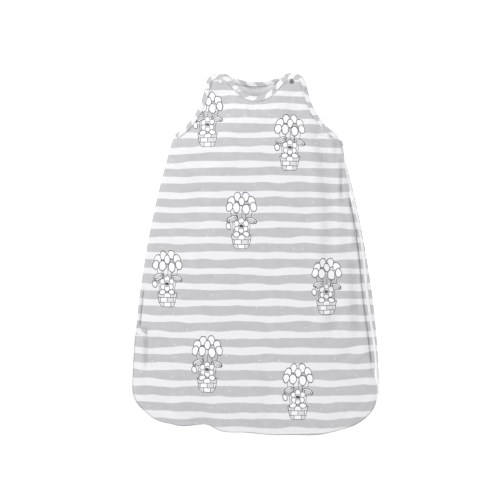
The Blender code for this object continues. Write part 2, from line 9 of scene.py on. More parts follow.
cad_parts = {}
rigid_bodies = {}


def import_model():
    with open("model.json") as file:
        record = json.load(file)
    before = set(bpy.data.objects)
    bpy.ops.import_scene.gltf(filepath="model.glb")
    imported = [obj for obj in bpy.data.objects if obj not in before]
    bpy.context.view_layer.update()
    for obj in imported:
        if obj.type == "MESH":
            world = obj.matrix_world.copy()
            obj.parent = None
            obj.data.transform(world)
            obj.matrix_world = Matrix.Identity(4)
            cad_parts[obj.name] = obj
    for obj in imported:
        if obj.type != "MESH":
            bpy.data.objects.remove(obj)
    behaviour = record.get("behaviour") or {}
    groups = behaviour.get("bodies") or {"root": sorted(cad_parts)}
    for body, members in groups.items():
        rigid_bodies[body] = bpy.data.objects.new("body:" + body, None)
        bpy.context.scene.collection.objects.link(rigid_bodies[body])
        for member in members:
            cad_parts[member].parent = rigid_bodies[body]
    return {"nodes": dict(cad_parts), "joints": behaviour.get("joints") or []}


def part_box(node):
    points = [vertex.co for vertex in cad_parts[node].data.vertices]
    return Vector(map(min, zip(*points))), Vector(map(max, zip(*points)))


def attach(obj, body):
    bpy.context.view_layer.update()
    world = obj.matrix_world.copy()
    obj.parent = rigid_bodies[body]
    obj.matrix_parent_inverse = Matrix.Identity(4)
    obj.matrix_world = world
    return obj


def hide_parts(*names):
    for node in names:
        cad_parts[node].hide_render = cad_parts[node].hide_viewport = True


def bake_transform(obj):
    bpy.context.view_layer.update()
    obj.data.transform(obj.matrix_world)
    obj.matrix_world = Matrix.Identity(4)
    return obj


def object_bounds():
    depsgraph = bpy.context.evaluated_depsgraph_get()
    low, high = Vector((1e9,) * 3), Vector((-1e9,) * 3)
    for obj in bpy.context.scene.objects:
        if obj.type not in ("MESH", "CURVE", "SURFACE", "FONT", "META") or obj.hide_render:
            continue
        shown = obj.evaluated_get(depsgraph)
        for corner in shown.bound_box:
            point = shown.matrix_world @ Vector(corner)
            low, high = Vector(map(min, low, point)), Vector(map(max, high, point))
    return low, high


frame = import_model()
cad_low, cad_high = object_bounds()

# ---------------------------------------------------------------- studio
# The bag hangs by its straps in a white studio, a quarter of a metre above a pale floor.
# The camera stands square to the bag, at the height of its middle.
BAG_LENGTH = -cad_low.z
camera_data = bpy.data.cameras.new("camera")
camera_data.lens = 100
camera_data.sensor_width = 36
camera = bpy.data.objects.new("camera", camera_data)
camera.location = (-0.0117, -2.70, -0.3433)
camera.rotation_euler = (math.radians(90), 0, 0)
bpy.context.scene.collection.objects.link(camera)
bpy.context.scene.camera = camera
bpy.context.scene.view_settings.view_transform = "Standard"

# A white tent lights the bag from all round: a little more from before and behind it, so that
# its round edges turn darker, and a little more from its upper left.
world = bpy.data.worlds.new("white studio")
bpy.context.scene.world = world
world.use_nodes = True
tent = world.node_tree


def tent_math(operation, first, *others):
    made = tent.nodes.new("ShaderNodeMath")
    made.operation = operation
    tent.links.new(first, made.inputs[0])
    for number, value in enumerate(others, 1):
        if isinstance(value, float):
            made.inputs[number].default_value = value
        else:
            tent.links.new(value, made.inputs[number])
    return made.outputs[0]


def tent_lobe(direction):
    towards = tent.nodes.new("ShaderNodeVectorMath")
    towards.operation = "DOT_PRODUCT"
    towards.inputs[1].default_value = direction
    tent.links.new(tent.nodes["tent direction"].outputs["Generated"], towards.inputs[0])
    return towards.outputs["Value"]


tent.nodes.new("ShaderNodeTexCoord").name = "tent direction"
upper_left = tent_math("MAXIMUM", tent_lobe((-0.8, 0, 0.6)), 0.0)
fore_and_aft = tent_math("POWER", tent_math("ABSOLUTE", tent_lobe((0, 1, 0))), 4.0)
strength = tent_math("MULTIPLY_ADD", upper_left, 0.25, 1.0)
strength = tent_math("MULTIPLY_ADD", fore_and_aft, 0.70, strength)
tent.nodes["Background"].inputs["Color"].default_value = (1, 1, 1, 1)
tent.links.new(strength, tent.nodes["Background"].inputs["Strength"])


def deselect():
    bpy.ops.object.select_all(action="DESELECT")


def softbox(name, place, aim, width, height, power):
    """A large soft light that faces a point of the bag."""
    light = bpy.data.lights.new(name, "AREA")
    light.shape = "RECTANGLE"
    light.size, light.size_y = width, height
    light.energy = power
    holder = bpy.data.objects.new(name, light)
    holder.location = place
    holder.rotation_euler = (Vector(aim) - Vector(place)).to_track_quat("-Z", "Y").to_euler()
    bpy.context.scene.collection.objects.link(holder)


softbox("softbox above", (-0.35, -0.80, 0.85), (0, 0, -0.1), 1.0, 0.4, 5.6)
softbox("softbox left", (-2.2, -0.9, 0.3), (0, 0, -0.35), 0.7, 1.4, 3)

deselect()
bpy.ops.mesh.primitive_plane_add(size=40, location=(0, 0, -BAG_LENGTH - 0.26))
floor = bpy.context.object
floor.name = "studio_floor"
floor_paint = bpy.data.materials.new("pale floor paint")
floor_paint.use_nodes = True
floor_paint.node_tree.nodes["Principled BSDF"].inputs["Base Color"].default_value = (1.0, 1.0, 1.0, 1)
floor_paint.node_tree.nodes["Principled BSDF"].inputs["Roughness"].default_value = 0.9
floor.data.materials.append(floor_paint)

# ---------------------------------------------------------------- the cut of the cloth
# Front and back are cut to one bell shape: an arc down each side, round lower corners and
# a shallow hem. The edge runs a little in and out where the padded hem lies in a soft wave.
joints = {joint["name"]: joint for joint in frame["joints"]}
SIDE_X, SIDE_Z = joints["slider_travel"]["pos_m"][0], joints["slider_travel"]["pos_m"][2]
UNDERARM = Vector((0.160, -0.122))
SIDE_R = (UNDERARM - Vector((SIDE_X, SIDE_Z))).length
CORNER_R = 0.080
HEM_R = 0.970
HEM_Z = HEM_R - BAG_LENGTH
ROOT_Z = joints["strap_left_fold"]["pos_m"][2]
ROOT_IN, ROOT_OUT = Vector((0.0315, ROOT_Z)), Vector((0.0995, ROOT_Z))
FRONT_STRAP_TOP, BACK_STRAP_TOP = -0.003, 0.0
NECK_CORNER = Vector((0.052, -0.006))  # where the back's neckline turns up into the strap
SNAP = Vector((0.069, -0.0168))
ROOM_AT_STRAP = 0.0019
LAYERS = 0.0069
CLOTH = 0.0010
LINING = 0.0008
BOUND = 0.0036  # all the layers where the binding squeezes them


def side_half(z):
    """Half width of the bag at a height below the underarm."""
    return SIDE_X + math.sqrt(SIDE_R**2 - (z - SIDE_Z) ** 2)


def bump(t, middle, width):
    return math.exp(-(((t - middle) / width) ** 2))


def smooth(t):
    t = min(max(t, 0.0), 1.0)
    return t * t * (3 - 2 * t)


def corner_centre():
    """Centre of the round lower corner, inside the side's arc and the hem's."""
    near, far = SIDE_R - CORNER_R, HEM_R - CORNER_R
    between = Vector((-SIDE_X, HEM_Z - SIDE_Z))
    along = (near**2 - far**2 + between.length_squared) / (2 * between.length)
    across = math.sqrt(near**2 - along**2)
    u = between.normalized()
    return Vector((SIDE_X, SIDE_Z)) + u * along + Vector((u.y, -u.x)) * across


CORNER = corner_centre()


def arc(centre, radius, start, end, steps):
    turns = [start + (end - start) * i / steps for i in range(steps + 1)]
    return [Vector((centre[0] + radius * math.cos(a), centre[1] + radius * math.sin(a))) for a in turns]


def bezier(a, b, c, d, steps):
    points = []
    for i in range(steps + 1):
        t = i / steps
        u = 1 - t
        points.append(a * u**3 + b * 3 * u * u * t + c * 3 * u * t * t + d * t**3)
    return points


def flipped(points):
    return [Vector((-p.x, p.y)) for p in points]


def hem_wave(p):
    """The wave of the hem: up over the left knee, down on the right."""
    rise = 0.0125 * bump(p.x, -0.098, 0.021) + 0.0085 * bump(p.x, -0.172, 0.042)
    rise += 0.0025 * bump(p.x, -0.010, 0.035) - 0.0060 * bump(p.x, 0.125, 0.045)
    rise += 0.0060 * bump(p.x, -0.125, 0.018) + 0.0038 * bump(p.x, -0.085, 0.030)
    rise += 0.0038 * bump(p.x, -0.035, 0.040) + 0.0100 * bump(p.x, -0.225, 0.025)
    return Vector((p.x, p.y + rise * smooth((-p.y - 0.610) / 0.075)))


SIDE_TOP = math.asin((UNDERARM.y - SIDE_Z) / SIDE_R)
SIDE_LOW = math.atan2(CORNER.y - SIDE_Z, CORNER.x - SIDE_X)
HEM_START = math.atan2(CORNER.y - HEM_Z, CORNER.x)
CORNER_MIDDLE = (SIDE_LOW + HEM_START) / 2
side_line = arc((SIDE_X, SIDE_Z), SIDE_R, SIDE_TOP, SIDE_LOW, 60)
side_line += arc(CORNER, CORNER_R, SIDE_LOW, CORNER_MIDDLE, 8)[1:]
hem_line = arc(CORNER, CORNER_R, CORNER_MIDDLE, HEM_START, 8)
hem_line += arc((0, HEM_Z), HEM_R, HEM_START, -math.pi / 2, 50)[1:]
hem_line = hem_line + list(reversed(flipped(hem_line)))[1:]
arm_line = bezier(
    UNDERARM, UNDERARM + Vector((-0.032, 0.019)), ROOT_OUT + Vector((0.0075, -0.040)), ROOT_OUT, 24
)
neck_line = bezier(
    Vector((0, -0.0475)), Vector((0.014, -0.0475)), ROOT_IN + Vector((-0.0075, -0.0085)), ROOT_IN, 16
)
back_neck_line = bezier(
    Vector((0, -0.0165)), Vector((0.020, -0.0165)), NECK_CORNER + Vector((-0.014, -0.005)), NECK_CORNER, 16
)


def strap_end(top_z, inner):
    """The round end of a strap: its rise from the inner side, and its fall to the shoulder."""
    top, shoulder = Vector((0.073, top_z)), Vector((0.0965, -0.020))
    lean = (inner - top).length
    rise = bezier(inner, inner + Vector((0.25, 0.29)) * lean, top - Vector((0.36 * lean, 0)), top, 20)
    fall = bezier(top, top + Vector((0.013, 0)), shoulder + Vector((-0.002, 0.011)), shoulder, 16)
    return rise, fall


def resample(points, shares):
    """Points of a line at the given shares of its length."""
    lengths = [0.0]
    for a, b in zip(points, points[1:]):
        lengths.append(lengths[-1] + (b - a).length)
    found, i = [], 0
    for share in shares:
        want = min(max(share, 0.0), 1.0) * lengths[-1]
        while i < len(points) - 2 and lengths[i + 1] < want:
            i += 1
        step = lengths[i + 1] - lengths[i]
        found.append(points[i].lerp(points[i + 1], (want - lengths[i]) / step if step else 0))
    return found


def patch_between(a, b, left, right, columns, rows):
    """A grid of flat cloth between four edges. Its lowest and highest rows are given."""
    c, d = resample(left, rows), resample(right, rows)
    grid = []
    for j, v in enumerate(rows):
        line = []
        for i, u in enumerate(columns):
            p = a[i] * (1 - v) + b[i] * v + c[j] * (1 - u) + d[j] * u
            p -= (a[0] * (1 - u) + a[-1] * u) * (1 - v) + (b[0] * (1 - u) + b[-1] * u) * v
            line.append(p)
        grid.append(line)
    return grid


def patch(low, high, left, right, columns, rows):
    return patch_between(resample(low, columns), resample(high, columns), left, right, columns, rows)


def spaced(width, from_low, from_high, step):
    """Shares of a width: close together near its ends, and evenly spaced between."""
    low, high = [d / width for d in from_low], [1 - d / width for d in reversed(from_high)]
    count = round((high[0] - low[-1]) * width / step)
    middle = [low[-1] + (high[0] - low[-1]) * i / count for i in range(1, count)]
    return low + middle + high


# The grids have the same number of columns and rows at every height. They are close together
# beside the seams, where the cloth turns over the padding and the ridge beside the zip stands.
USUAL_WIDTH, USUAL_HEIGHT = 0.44, 0.60
SEAM_STEPS = [0, 0.0008, 0.0022, 0.0044]
LEFT_STEPS = SEAM_STEPS + [0.0062, 0.0072, 0.0078, 0.0084, 0.0096, 0.0120, 0.0155]
ZIP_STEPS = LEFT_STEPS[:-2] + [0.0115, 0.0142, 0.0170, 0.0200, 0.0235, 0.0275]
COLUMNS = spaced(USUAL_WIDTH, LEFT_STEPS, ZIP_STEPS, 0.0056)
ROWS = spaced(USUAL_HEIGHT, SEAM_STEPS + [0.0074, 0.0110, 0.0155], [0], 0.0060)
CHEST_ROWS = [i / 16 for i in range(17)]
STRAP_ROWS = [i / 8 for i in range(9)]
STRAP_COLUMNS = round(len(COLUMNS) * 0.34)

# Where the zip lies: it turns forward on the right side, so that a strip of the back shows
# beyond it. How much of the back comes round, and how wide the white zip between them is.


def zip_forward(z):
    """0 where the zip lies on the edge, 1 where it has turned forward."""
    return smooth((-z - 0.150) / 0.045) * smooth((z + 0.655) / 0.070)


def back_strip(z):
    return zip_forward(z) * (0.0018 + 0.0058 * bump(z, -0.440, 0.085))


def zip_width(z):
    return zip_forward(z) * 0.0046


def side_points(inset):
    """The right side from the underarm down, moved in by a distance that depends on height."""
    return [Vector((p.x - inset(p.y), p.y)) for p in side_line]


def cloth_edges(front):
    """The side seam's edges of the front or of the back: left, right and hem, from below up."""
    if front:
        right = side_points(lambda z: back_strip(z) + zip_width(z))
    else:
        right = list(side_line)
    left = flipped(side_line)
    hem = list(reversed(hem_line))
    return [[hem_wave(p) for p in line] for line in (reversed(left), reversed(right), hem)]


def seam_distances(front):
    """A lookup of the distance to the side seams and hem, and one to the bound edges."""
    left, right, hem = cloth_edges(front)
    if front:
        rise, fall = strap_end(FRONT_STRAP_TOP, ROOT_IN)
        top = neck_line + rise[1:] + fall[1:] + [ROOT_OUT]
    else:
        rise, fall = strap_end(BACK_STRAP_TOP, NECK_CORNER)
        top = back_neck_line + rise[1:] + fall[1:] + [ROOT_OUT]
    trees = []
    for lines in ([left, right, hem], [top, flipped(top), arm_line, flipped(arm_line)]):
        points = [q for line in lines for q in resample(line, [i / 400 for i in range(401)])]
        tree = KDTree(len(points))
        for i, q in enumerate(points):
            tree.insert((q.x, q.y, 0), i)
        tree.balance()
        trees.append(tree)
    return trees


def panel_grid(front):
    """All the flat grids of a panel: body, chest and straps, with a number for the part of
    the bag that each belongs to: 0 the panel, 1 the left strap, 2 the right strap."""
    left, right, hem = cloth_edges(front)
    underarm = [Vector((-UNDERARM.x, UNDERARM.y)), UNDERARM]
    body = patch(hem, underarm, left, right, COLUMNS, ROWS)
    n = STRAP_COLUMNS
    share = COLUMNS[n]
    last = COLUMNS[-1 - n]
    if front:
        rise, fall = strap_end(FRONT_STRAP_TOP, ROOT_IN)
        lefts = [u / share for u in COLUMNS[: n + 1]]
        rights = [(u - last) / (1 - last) for u in COLUMNS[-1 - n :]]
        middles = [(u - share) / (last - share) for u in COLUMNS[n:-n]]
        neck = list(reversed(flipped(neck_line))) + neck_line[1:]
        top = resample([Vector((-ROOT_OUT.x, ROOT_Z)), Vector((-ROOT_IN.x, ROOT_Z))], lefts)
        top += resample(neck, middles)[1:-1]
        top += resample([ROOT_IN, ROOT_OUT], rights)
        chest = patch_between(
            resample(underarm, COLUMNS), top, flipped(arm_line), arm_line, COLUMNS, CHEST_ROWS
        )
        inner, outer = rise[:9], [ROOT_OUT] + list(reversed(fall))[:9]
        crown = rise[8:] + fall[1:-8]
        right_strap = patch([ROOT_IN, ROOT_OUT], crown, inner, outer, rights, STRAP_ROWS)
        left_strap = patch(
            [Vector((-ROOT_OUT.x, ROOT_Z)), Vector((-ROOT_IN.x, ROOT_Z))],
            list(reversed(flipped(crown))),
            flipped(outer),
            flipped(inner),
            lefts,
            STRAP_ROWS,
        )
        return [(body, 0), (chest, 0), (left_strap, 1), (right_strap, 2)]
    rise, fall = strap_end(BACK_STRAP_TOP, NECK_CORNER)
    side = arm_line + list(reversed(fall))[:9]
    half = back_neck_line + rise[1:] + fall[1:-8]
    crown = list(reversed(flipped(half))) + half[1:]
    chest = patch(underarm, crown, flipped(side), side, COLUMNS, [i / 22 for i in range(23)])
    return [(body, 0), (chest, 0)]


def flat_cloth(grids):
    """Points, faces and part numbers of the grids, joined where they meet."""
    points, faces, parts, known = [], [], [], {}

    def number(p):
        key = (round(p.x * 2e5), round(p.y * 2e5))
        if key not in known:
            known[key] = len(points)
            points.append(p)
        return known[key]

    for grid, part in grids:
        numbers = [[number(p) for p in line] for line in grid]
        for low, high in zip(numbers, numbers[1:]):
            for i in range(len(low) - 1):
                corners = [low[i], low[i + 1], high[i + 1], high[i]]
                if len(set(corners)) == 4:
                    faces.append(corners)
                    parts.append(part)
    return points, faces, parts


FRONT_ROOM, BACK_ROOM = 0.024, 0.010  # how far the front and the back bulge at the most
NECK_LIFT, NECK_HALF = 0.055, 0.066


def inner_room(x, z, front):
    """The lining's distance from the seam plane: closed at the straps, open at the body."""
    lift = NECK_LIFT * max(0.0, 1 - (x / NECK_HALF) ** 2)
    opening = smooth((ROOT_Z - 0.002 + lift - z) / 0.160)
    across = max(0.0, 1 - (x / (side_half(min(z, UNDERARM.y)) + 0.020)) ** 2)
    down = 1 - max(0.0, (-z - 0.330) / (BAG_LENGTH - 0.310)) ** 4
    deep = FRONT_ROOM * opening * across * down
    return ROOM_AT_STRAP + (deep if front else min(deep, BACK_ROOM))


EDGE_ROUND = 0.017  # how far in from the seam the padded edge goes on rounding
LINING_ROUND = 0.030
RIDGE = 0.0078  # the width of cloth that stands up as a ridge beside the zip, outside a crease
RIDGE_RISE, RIDGE_CREASE = 0.0036, 0.0040
SWELL = 0.0085  # how far in from a bound edge the padding takes to swell
SNAP_PINCH = 0.0065
SEAM_EDGE, ZIP_EDGE = 0.0012, 0.0034  # the cloth's depth at a seam, and what the zip adds


def edge_ridge(p):
    """How much of a ridge the front's edge has: down the right side, and over the left tab."""
    if p.x > 0.05:
        return smooth((-p.y - 0.220) / 0.040) * smooth((p.y + 0.610) / 0.060)
    if p.x < -0.05:
        return smooth((-p.y - 0.400) / 0.030) * smooth((p.y + 0.500) / 0.012)
    return 0.0


def roundness(distance, reach=EDGE_ROUND):
    t = 1 - min(distance / reach, 1.0)
    return math.sqrt(max(0.0, 1 - t * t))


class Depths:
    """How far each layer stands from the seam plane at a point of the flat cloth."""

    def __init__(self, front):
        self.front = front
        self.seams, self.bound = seam_distances(front)

    def distances(self, p):
        seam = self.seams.find((p.x, p.y, 0))[2]
        bound = self.bound.find((p.x, p.y, 0))[2]
        return seam, bound

    def lining(self, p):
        seam = self.distances(p)[0]
        return inner_room(p.x, p.y, self.front) * (0.15 + 0.85 * roundness(seam, LINING_ROUND))

    def shell(self, p):
        seam, bound = self.distances(p)
        swell = 1 - math.exp(-bound / SWELL)
        padding = BOUND + (LAYERS - BOUND + 0.0012) * swell
        at_snap = bump((Vector((abs(p.x), p.y)) - SNAP).length, 0, SNAP_PINCH)
        depth = inner_room(p.x, p.y, self.front) + padding
        depth += (ROOM_AT_STRAP + LAYERS + 0.0004 - depth) * at_snap
        edge = SEAM_EDGE + (ZIP_EDGE * zip_forward(p.y) if self.front and p.x > 0.05 else 0.0)
        ridge = edge_ridge(p) if self.front else 0.0
        if ridge == 0:
            return edge + max(depth - edge, 0) * roundness(seam)
        wide = RIDGE * side_half(p.y) / 0.2245
        rounding = roundness(max(seam - wide * ridge, 0.0), EDGE_ROUND - 0.005 * ridge)
        low = edge + max(depth - edge, 0) * rounding
        across = (2 * seam / wide - 1) if seam < wide else 1.0
        low += RIDGE_RISE * ridge * math.sqrt(max(0.0, 1 - across * across))
        return low - min(RIDGE_CREASE, 0.6 * low) * ridge * bump(seam, wide, 0.0011)


def mesh_piece(name, points, faces, flat=None, tags=None):
    """A mesh object; flat gives the cut cloth's own coordinates as its UV map."""
    mesh = bpy.data.meshes.new(name)
    mesh.from_pydata([tuple(p) for p in points], [], faces)
    mesh.validate()
    if flat is not None:
        cut = mesh.uv_layers.new(name="cut")
        for loop in mesh.loops:
            cut.data[loop.index].uv = flat[loop.vertex_index]
    if tags is not None:
        while len(mesh.materials) <= max(tags):
            mesh.materials.append(None)
        mesh.polygons.foreach_set("material_index", tags)
    piece = bpy.data.objects.new(name, mesh)
    bpy.context.scene.collection.objects.link(piece)
    return piece


def choose(piece):
    deselect()
    piece.select_set(True)
    bpy.context.view_layer.objects.active = piece


def apply_modifier(piece, kind, **settings):
    choose(piece)
    modifier = piece.modifiers.new(kind.lower(), kind)
    for key, value in settings.items():
        setattr(modifier, key, value)
    bpy.ops.object.modifier_apply(modifier=modifier.name)
    return piece


def face_outwards(piece):
    """Turns every face of a closed piece outwards."""
    bm = bmesh.new()
    bm.from_mesh(piece.data)
    bmesh.ops.recalc_face_normals(bm, faces=bm.faces[:])
    bm.to_mesh(piece.data)
    bm.free()


def shade_smooth(piece, degrees=60):
    """Shades a piece smooth over every edge that turns by less than an angle."""
    choose(piece)
    bpy.ops.object.shade_smooth_by_angle(angle=math.radians(degrees))
    return piece


# ---------------------------------------------------------------- printed jersey
# Soft cotton jersey, printed with hand-drawn grey stripes, white specks and a small motif:
# a potted flower that hangs from a bunch of balloons. The print follows the cut cloth.
STRIPE_GREY = (0.393, 0.393, 0.404, 1)
STRIPE_WHITE = (0.622, 0.622, 0.636, 1)
INK = (0.035, 0.035, 0.040, 1)


def add_node(tree, kind, values=(), **settings):
    """A node with its settings made and its sockets set or joined, by number or name."""
    made = tree.nodes.new(kind)
    for key, value in settings.items():
        setattr(made, key, value)
    for key, value in values.items() if isinstance(values, dict) else enumerate(values):
        value = getattr(value, "socket", value)
        if isinstance(value, bpy.types.NodeSocket):
            tree.links.new(value, made.inputs[key])
        else:
            made.inputs[key].default_value = value
    return made


class Signal:
    """A number or a vector on its way through a material, and the sums that are done on it."""

    def __init__(self, tree, socket):
        self.tree, self.socket = tree, socket

    def node(self, kind, values, output=0, **settings):
        return Signal(self.tree, add_node(self.tree, kind, values, **settings).outputs[output])

    def to(self, operation, *others):
        return self.node("ShaderNodeMath", (self, *others), operation=operation)

    def vector(self, operation, *others, output=0):
        return self.node("ShaderNodeVectorMath", (self, *others), output, operation=operation)

    def scaled(self, factor):
        return self.node("ShaderNodeVectorMath", {0: self, "Scale": factor}, operation="SCALE")

    def split(self):
        parts = add_node(self.tree, "ShaderNodeSeparateXYZ", (self,)).outputs
        return [Signal(self.tree, part) for part in parts]

    def ramp(self, low, high, start=0.0, end=1.0):
        """start below low, end above high, and smooth between them."""
        values = {"Value": self, "From Min": low, "From Max": high, "To Min": start, "To Max": end}
        return self.node("ShaderNodeMapRange", values, "Result", interpolation_type="SMOOTHSTEP")

    def noise(self, scale, detail, output="Fac", flat=False, **more):
        values = {"Vector": self, "Scale": scale, "Detail": detail, **more}
        return self.node("ShaderNodeTexNoise", values, output, noise_dimensions="2D" if flat else "3D")

    def __add__(self, other):
        return self.to("ADD", other)

    def __sub__(self, other):
        return self.to("SUBTRACT", other)

    def __rsub__(self, other):
        return self.node("ShaderNodeMath", (other, self), operation="SUBTRACT")

    def __mul__(self, other):
        return self.to("MULTIPLY", other)

    def __truediv__(self, other):
        return self.to("DIVIDE", other)

    def __pow__(self, other):
        return self.to("POWER", other)

    def __abs__(self):
        return self.to("ABSOLUTE")


def mix_colour(tree, share, under, over):
    made = tree.nodes.new("ShaderNodeMix")
    made.data_type = "RGBA"
    for name, value in (("Factor", share), ("A", under), ("B", over)):
        socket = [s for s in made.inputs if s.name == name and s.enabled][0]
        value = getattr(value, "socket", value)
        if isinstance(value, bpy.types.NodeSocket):
            tree.links.new(value, socket)
        else:
            socket.default_value = value
    return [s for s in made.outputs if s.enabled][0]


def inked_oval():
    """A group that draws one oval of the motif over what is under it: a fill and an ink line."""
    tree = bpy.data.node_groups.new("inked oval", "ShaderNodeTree")
    kinds = {"Under": "Color", "Place": "Vector", "Centre": "Vector", "Radii": "Vector"}
    kinds.update({"Turn": "Float", "Fill": "Color", "Line": "Float"})
    for name, kind in kinds.items():
        tree.interface.new_socket(name, in_out="INPUT", socket_type="NodeSocket" + kind)
    tree.interface.new_socket("Colour", in_out="OUTPUT", socket_type="NodeSocketColor")
    given = tree.nodes.new("NodeGroupInput").outputs
    out = tree.nodes.new("NodeGroupOutput").inputs
    away = Signal(tree, given["Place"]).vector("SUBTRACT", given["Centre"])
    turned = away.node(
        "ShaderNodeVectorRotate", {"Vector": away, "Angle": given["Turn"]}, rotation_type="Z_AXIS"
    )
    length = turned.vector("DIVIDE", given["Radii"]).vector("LENGTH", output="Value")
    across, up, _ = Signal(tree, given["Radii"]).split()
    distance = (length - 1.0) * across.to("MINIMUM", up)
    filled = mix_colour(tree, distance.ramp(-0.1, 0.1, 1.0, 0.0), given["Under"], given["Fill"])
    line = (abs(distance) - given["Line"]).ramp(-0.12, 0.12, 1.0, 0.0)
    tree.links.new(mix_colour(tree, line, filled, INK), out["Colour"])
    return tree


OVAL = inked_oval()
MOTIF_PLACES = (
    (-0.0930, -0.0931),
    (0.0641, -0.1388),
    (-0.0282, -0.2887),
    (-0.1713, -0.3995),
    (0.1360, -0.4143),
    (-0.0934, -0.5628),
    (0.0798, -0.6158),
)
PAPER = (0.70, 0.70, 0.71, 1)
SHADE = (0.49, 0.49, 0.50, 1)
# Each oval of the motif in millimetres: centre, radii, turn in radians, fill, half the ink line.
MOTIF = (
    ((-7.5, 46.5), (6.4, 9.0), -0.10, PAPER, 0.60),
    ((8.0, 47.0), (6.6, 9.2), 0.12, PAPER, 0.60),
    ((-19.0, 38.0), (6.8, 9.4), -0.34, PAPER, 0.60),
    ((19.5, 38.5), (6.8, 9.4), 0.32, PAPER, 0.60),
    ((0.5, 38.0), (6.0, 8.6), 0.0, PAPER, 0.60),
    ((-22.5, 27.5), (6.2, 8.8), -0.24, PAPER, 0.60),
    ((23.0, 27.5), (6.2, 8.8), 0.22, PAPER, 0.60),
    ((-9.5, 26.5), (7.0, 9.8), -0.08, PAPER, 0.60),
    ((9.0, 23.5), (7.0, 9.8), 0.10, PAPER, 0.60),
    ((-9.2, 15.8), (1.3, 1.0), 0.0, PAPER, 0.45),
    ((8.8, 12.8), (1.3, 1.0), 0.0, PAPER, 0.45),
    ((-24.5, -9.0), (4.6, 6.6), 0.25, PAPER, 0.60),
    ((-17.0, 4.8), (10.5, 5.6), 0.42, PAPER, 0.60),
    ((-17.0, 4.4), (7.2, 2.6), 0.46, SHADE, 0.38),
    ((18.5, 1.5), (10.8, 5.4), -0.32, PAPER, 0.60),
    ((18.5, 1.2), (7.4, 2.5), -0.36, SHADE, 0.38),
    ((-9.5, -24.5), (6.8, 5.0), 0.3, PAPER, 0.60),
    ((9.5, -24.5), (6.8, 4.8), -0.3, PAPER, 0.60),
    ((-8.6, -4.2), (5.4, 5.6), 0.4, PAPER, 0.56),
    ((8.6, -4.2), (5.4, 5.6), -0.4, PAPER, 0.56),
    ((-7.2, -14.2), (5.6, 5.4), -0.3, PAPER, 0.56),
    ((7.2, -14.2), (5.6, 5.4), 0.3, PAPER, 0.56),
    ((0.0, 0.6), (5.4, 5.8), 0.0, PAPER, 0.56),
    ((0.0, -17.6), (5.2, 5.2), 0.0, PAPER, 0.56),
    ((0.0, -8.4), (5.8, 5.6), 0.0, PAPER, 0.56),
    ((0.0, -8.6), (4.0, 3.0), -0.2, INK, 0.3),
)
SHAKE = 0.0013  # how unsteady the drawn lines are
MOTIF_REACH = (0.036, 0.058)
OVALS_BEHIND_POT = 16
STRINGS = ((-20.0, -13.0), (-8.0, -6.0), (1.0, 0.0), (9.0, 6.0), (20.5, 13.0))  # top and foot across


def motif_place(place):
    """Millimetres from the nearest motif's middle, slightly shaken as a drawn line is. Away from
    every motif it is a metre below the middle of one."""
    shake = place.noise(90.0, 0.0, "Color", flat=True).vector("SUBTRACT", (0.5, 0.5, 0.5))
    shaken = place.vector("ADD", shake.scaled(SHAKE))
    total = None
    for x, z in MOTIF_PLACES:
        away = shaken.vector("SUBTRACT", (x, z, 0))
        near_x, near_z = [abs(d).to("LESS_THAN", most) for d, most in zip(away.split(), MOTIF_REACH)]
        here = away.vector("SUBTRACT", (0, -1, 0)).scaled(near_x * near_z)
        total = here if total is None else total.vector("ADD", here)
    return total.vector("ADD", (0, -1, 0)).scaled(1000)


def draw_strings(tree, colour, place):
    """Thin strings from the balloons down to the pot's rim."""
    x, z, _ = place.split()
    between = z.ramp(-20.2, -20.0) * z.ramp(22.0, 22.2, 1.0, 0.0)
    rise = (z + 34.0).to("MAXIMUM", 1.0)
    for top_x, foot_x in STRINGS:
        off = abs(x - (rise * ((top_x - foot_x) / 54.0) + foot_x))
        colour = mix_colour(tree, off.ramp(0.36, 0.58, 1.0, 0.0) * between, colour, INK)
    return colour


def draw_pot(tree, colour, place):
    """A woven pot: three rows of round-cornered canes under the flower."""
    cane_length, row_height, pot_height = 13.0, 8.8, 26.0
    x, z, _ = place.split()
    down = (z + 26.0) * -1.0
    foot = (down.to("MAXIMUM", 0.0) / 27.0) ** 6.0
    out = abs(x) - ((19.0 - down * 0.17) - foot * 5.0)
    high = abs(down - pot_height / 2) - 13.2
    edge = out.to("MAXIMUM", high)
    odd = (down / row_height).to("FLOOR").to("FLOORED_MODULO", 2.0) * (cane_length / 2)
    along = x + (odd + cane_length / 2)
    gap = along.to("PINGPONG", cane_length / 2).to("MINIMUM", down.to("PINGPONG", row_height / 2))
    shaded = (along / cane_length).to("FLOOR").to("FLOORED_MODULO", 2.0) * 0.8
    inside = edge.ramp(-0.1, 0.1, 1.0, 0.0)
    colour = mix_colour(tree, inside, colour, mix_colour(tree, shaded, PAPER, SHADE))
    colour = mix_colour(tree, gap.ramp(0.38, 0.68, 1.0, 0.0) * inside, colour, INK)
    rim = (abs(edge) - 0.56).ramp(-0.12, 0.12, 1.0, 0.0)
    return mix_colour(tree, rim, colour, INK)


def striped_print(tree, place):
    """Grey stripes with wavering edges on white, a little wider apart towards the hem, and specks."""
    first_stripe, per_metre, widening = 0.02547, 36.23, 3.77
    drop = place.split()[1] * -1.0 - first_stripe
    waver = place.vector("MULTIPLY", (17, 42, 1)).noise(1.0, 2.0, flat=True, Roughness=0.35)
    count = (drop * (per_metre - drop * widening) + (waver - 0.5) * 0.30) + 20.0
    grey = count.to("PINGPONG", 0.5).ramp(0.280, 0.300, 1.0, 0.0)
    dots = place.node(
        "ShaderNodeTexVoronoi",
        {"Vector": place, "Scale": 26.0},
        "Distance",
        voronoi_dimensions="2D",
        feature="F1",
    )
    colour = mix_colour(tree, grey, STRIPE_WHITE, STRIPE_GREY)
    return mix_colour(tree, dots.ramp(0.020, 0.040, 1.0, 0.0) * (grey * 0.85), colour, STRIPE_WHITE)


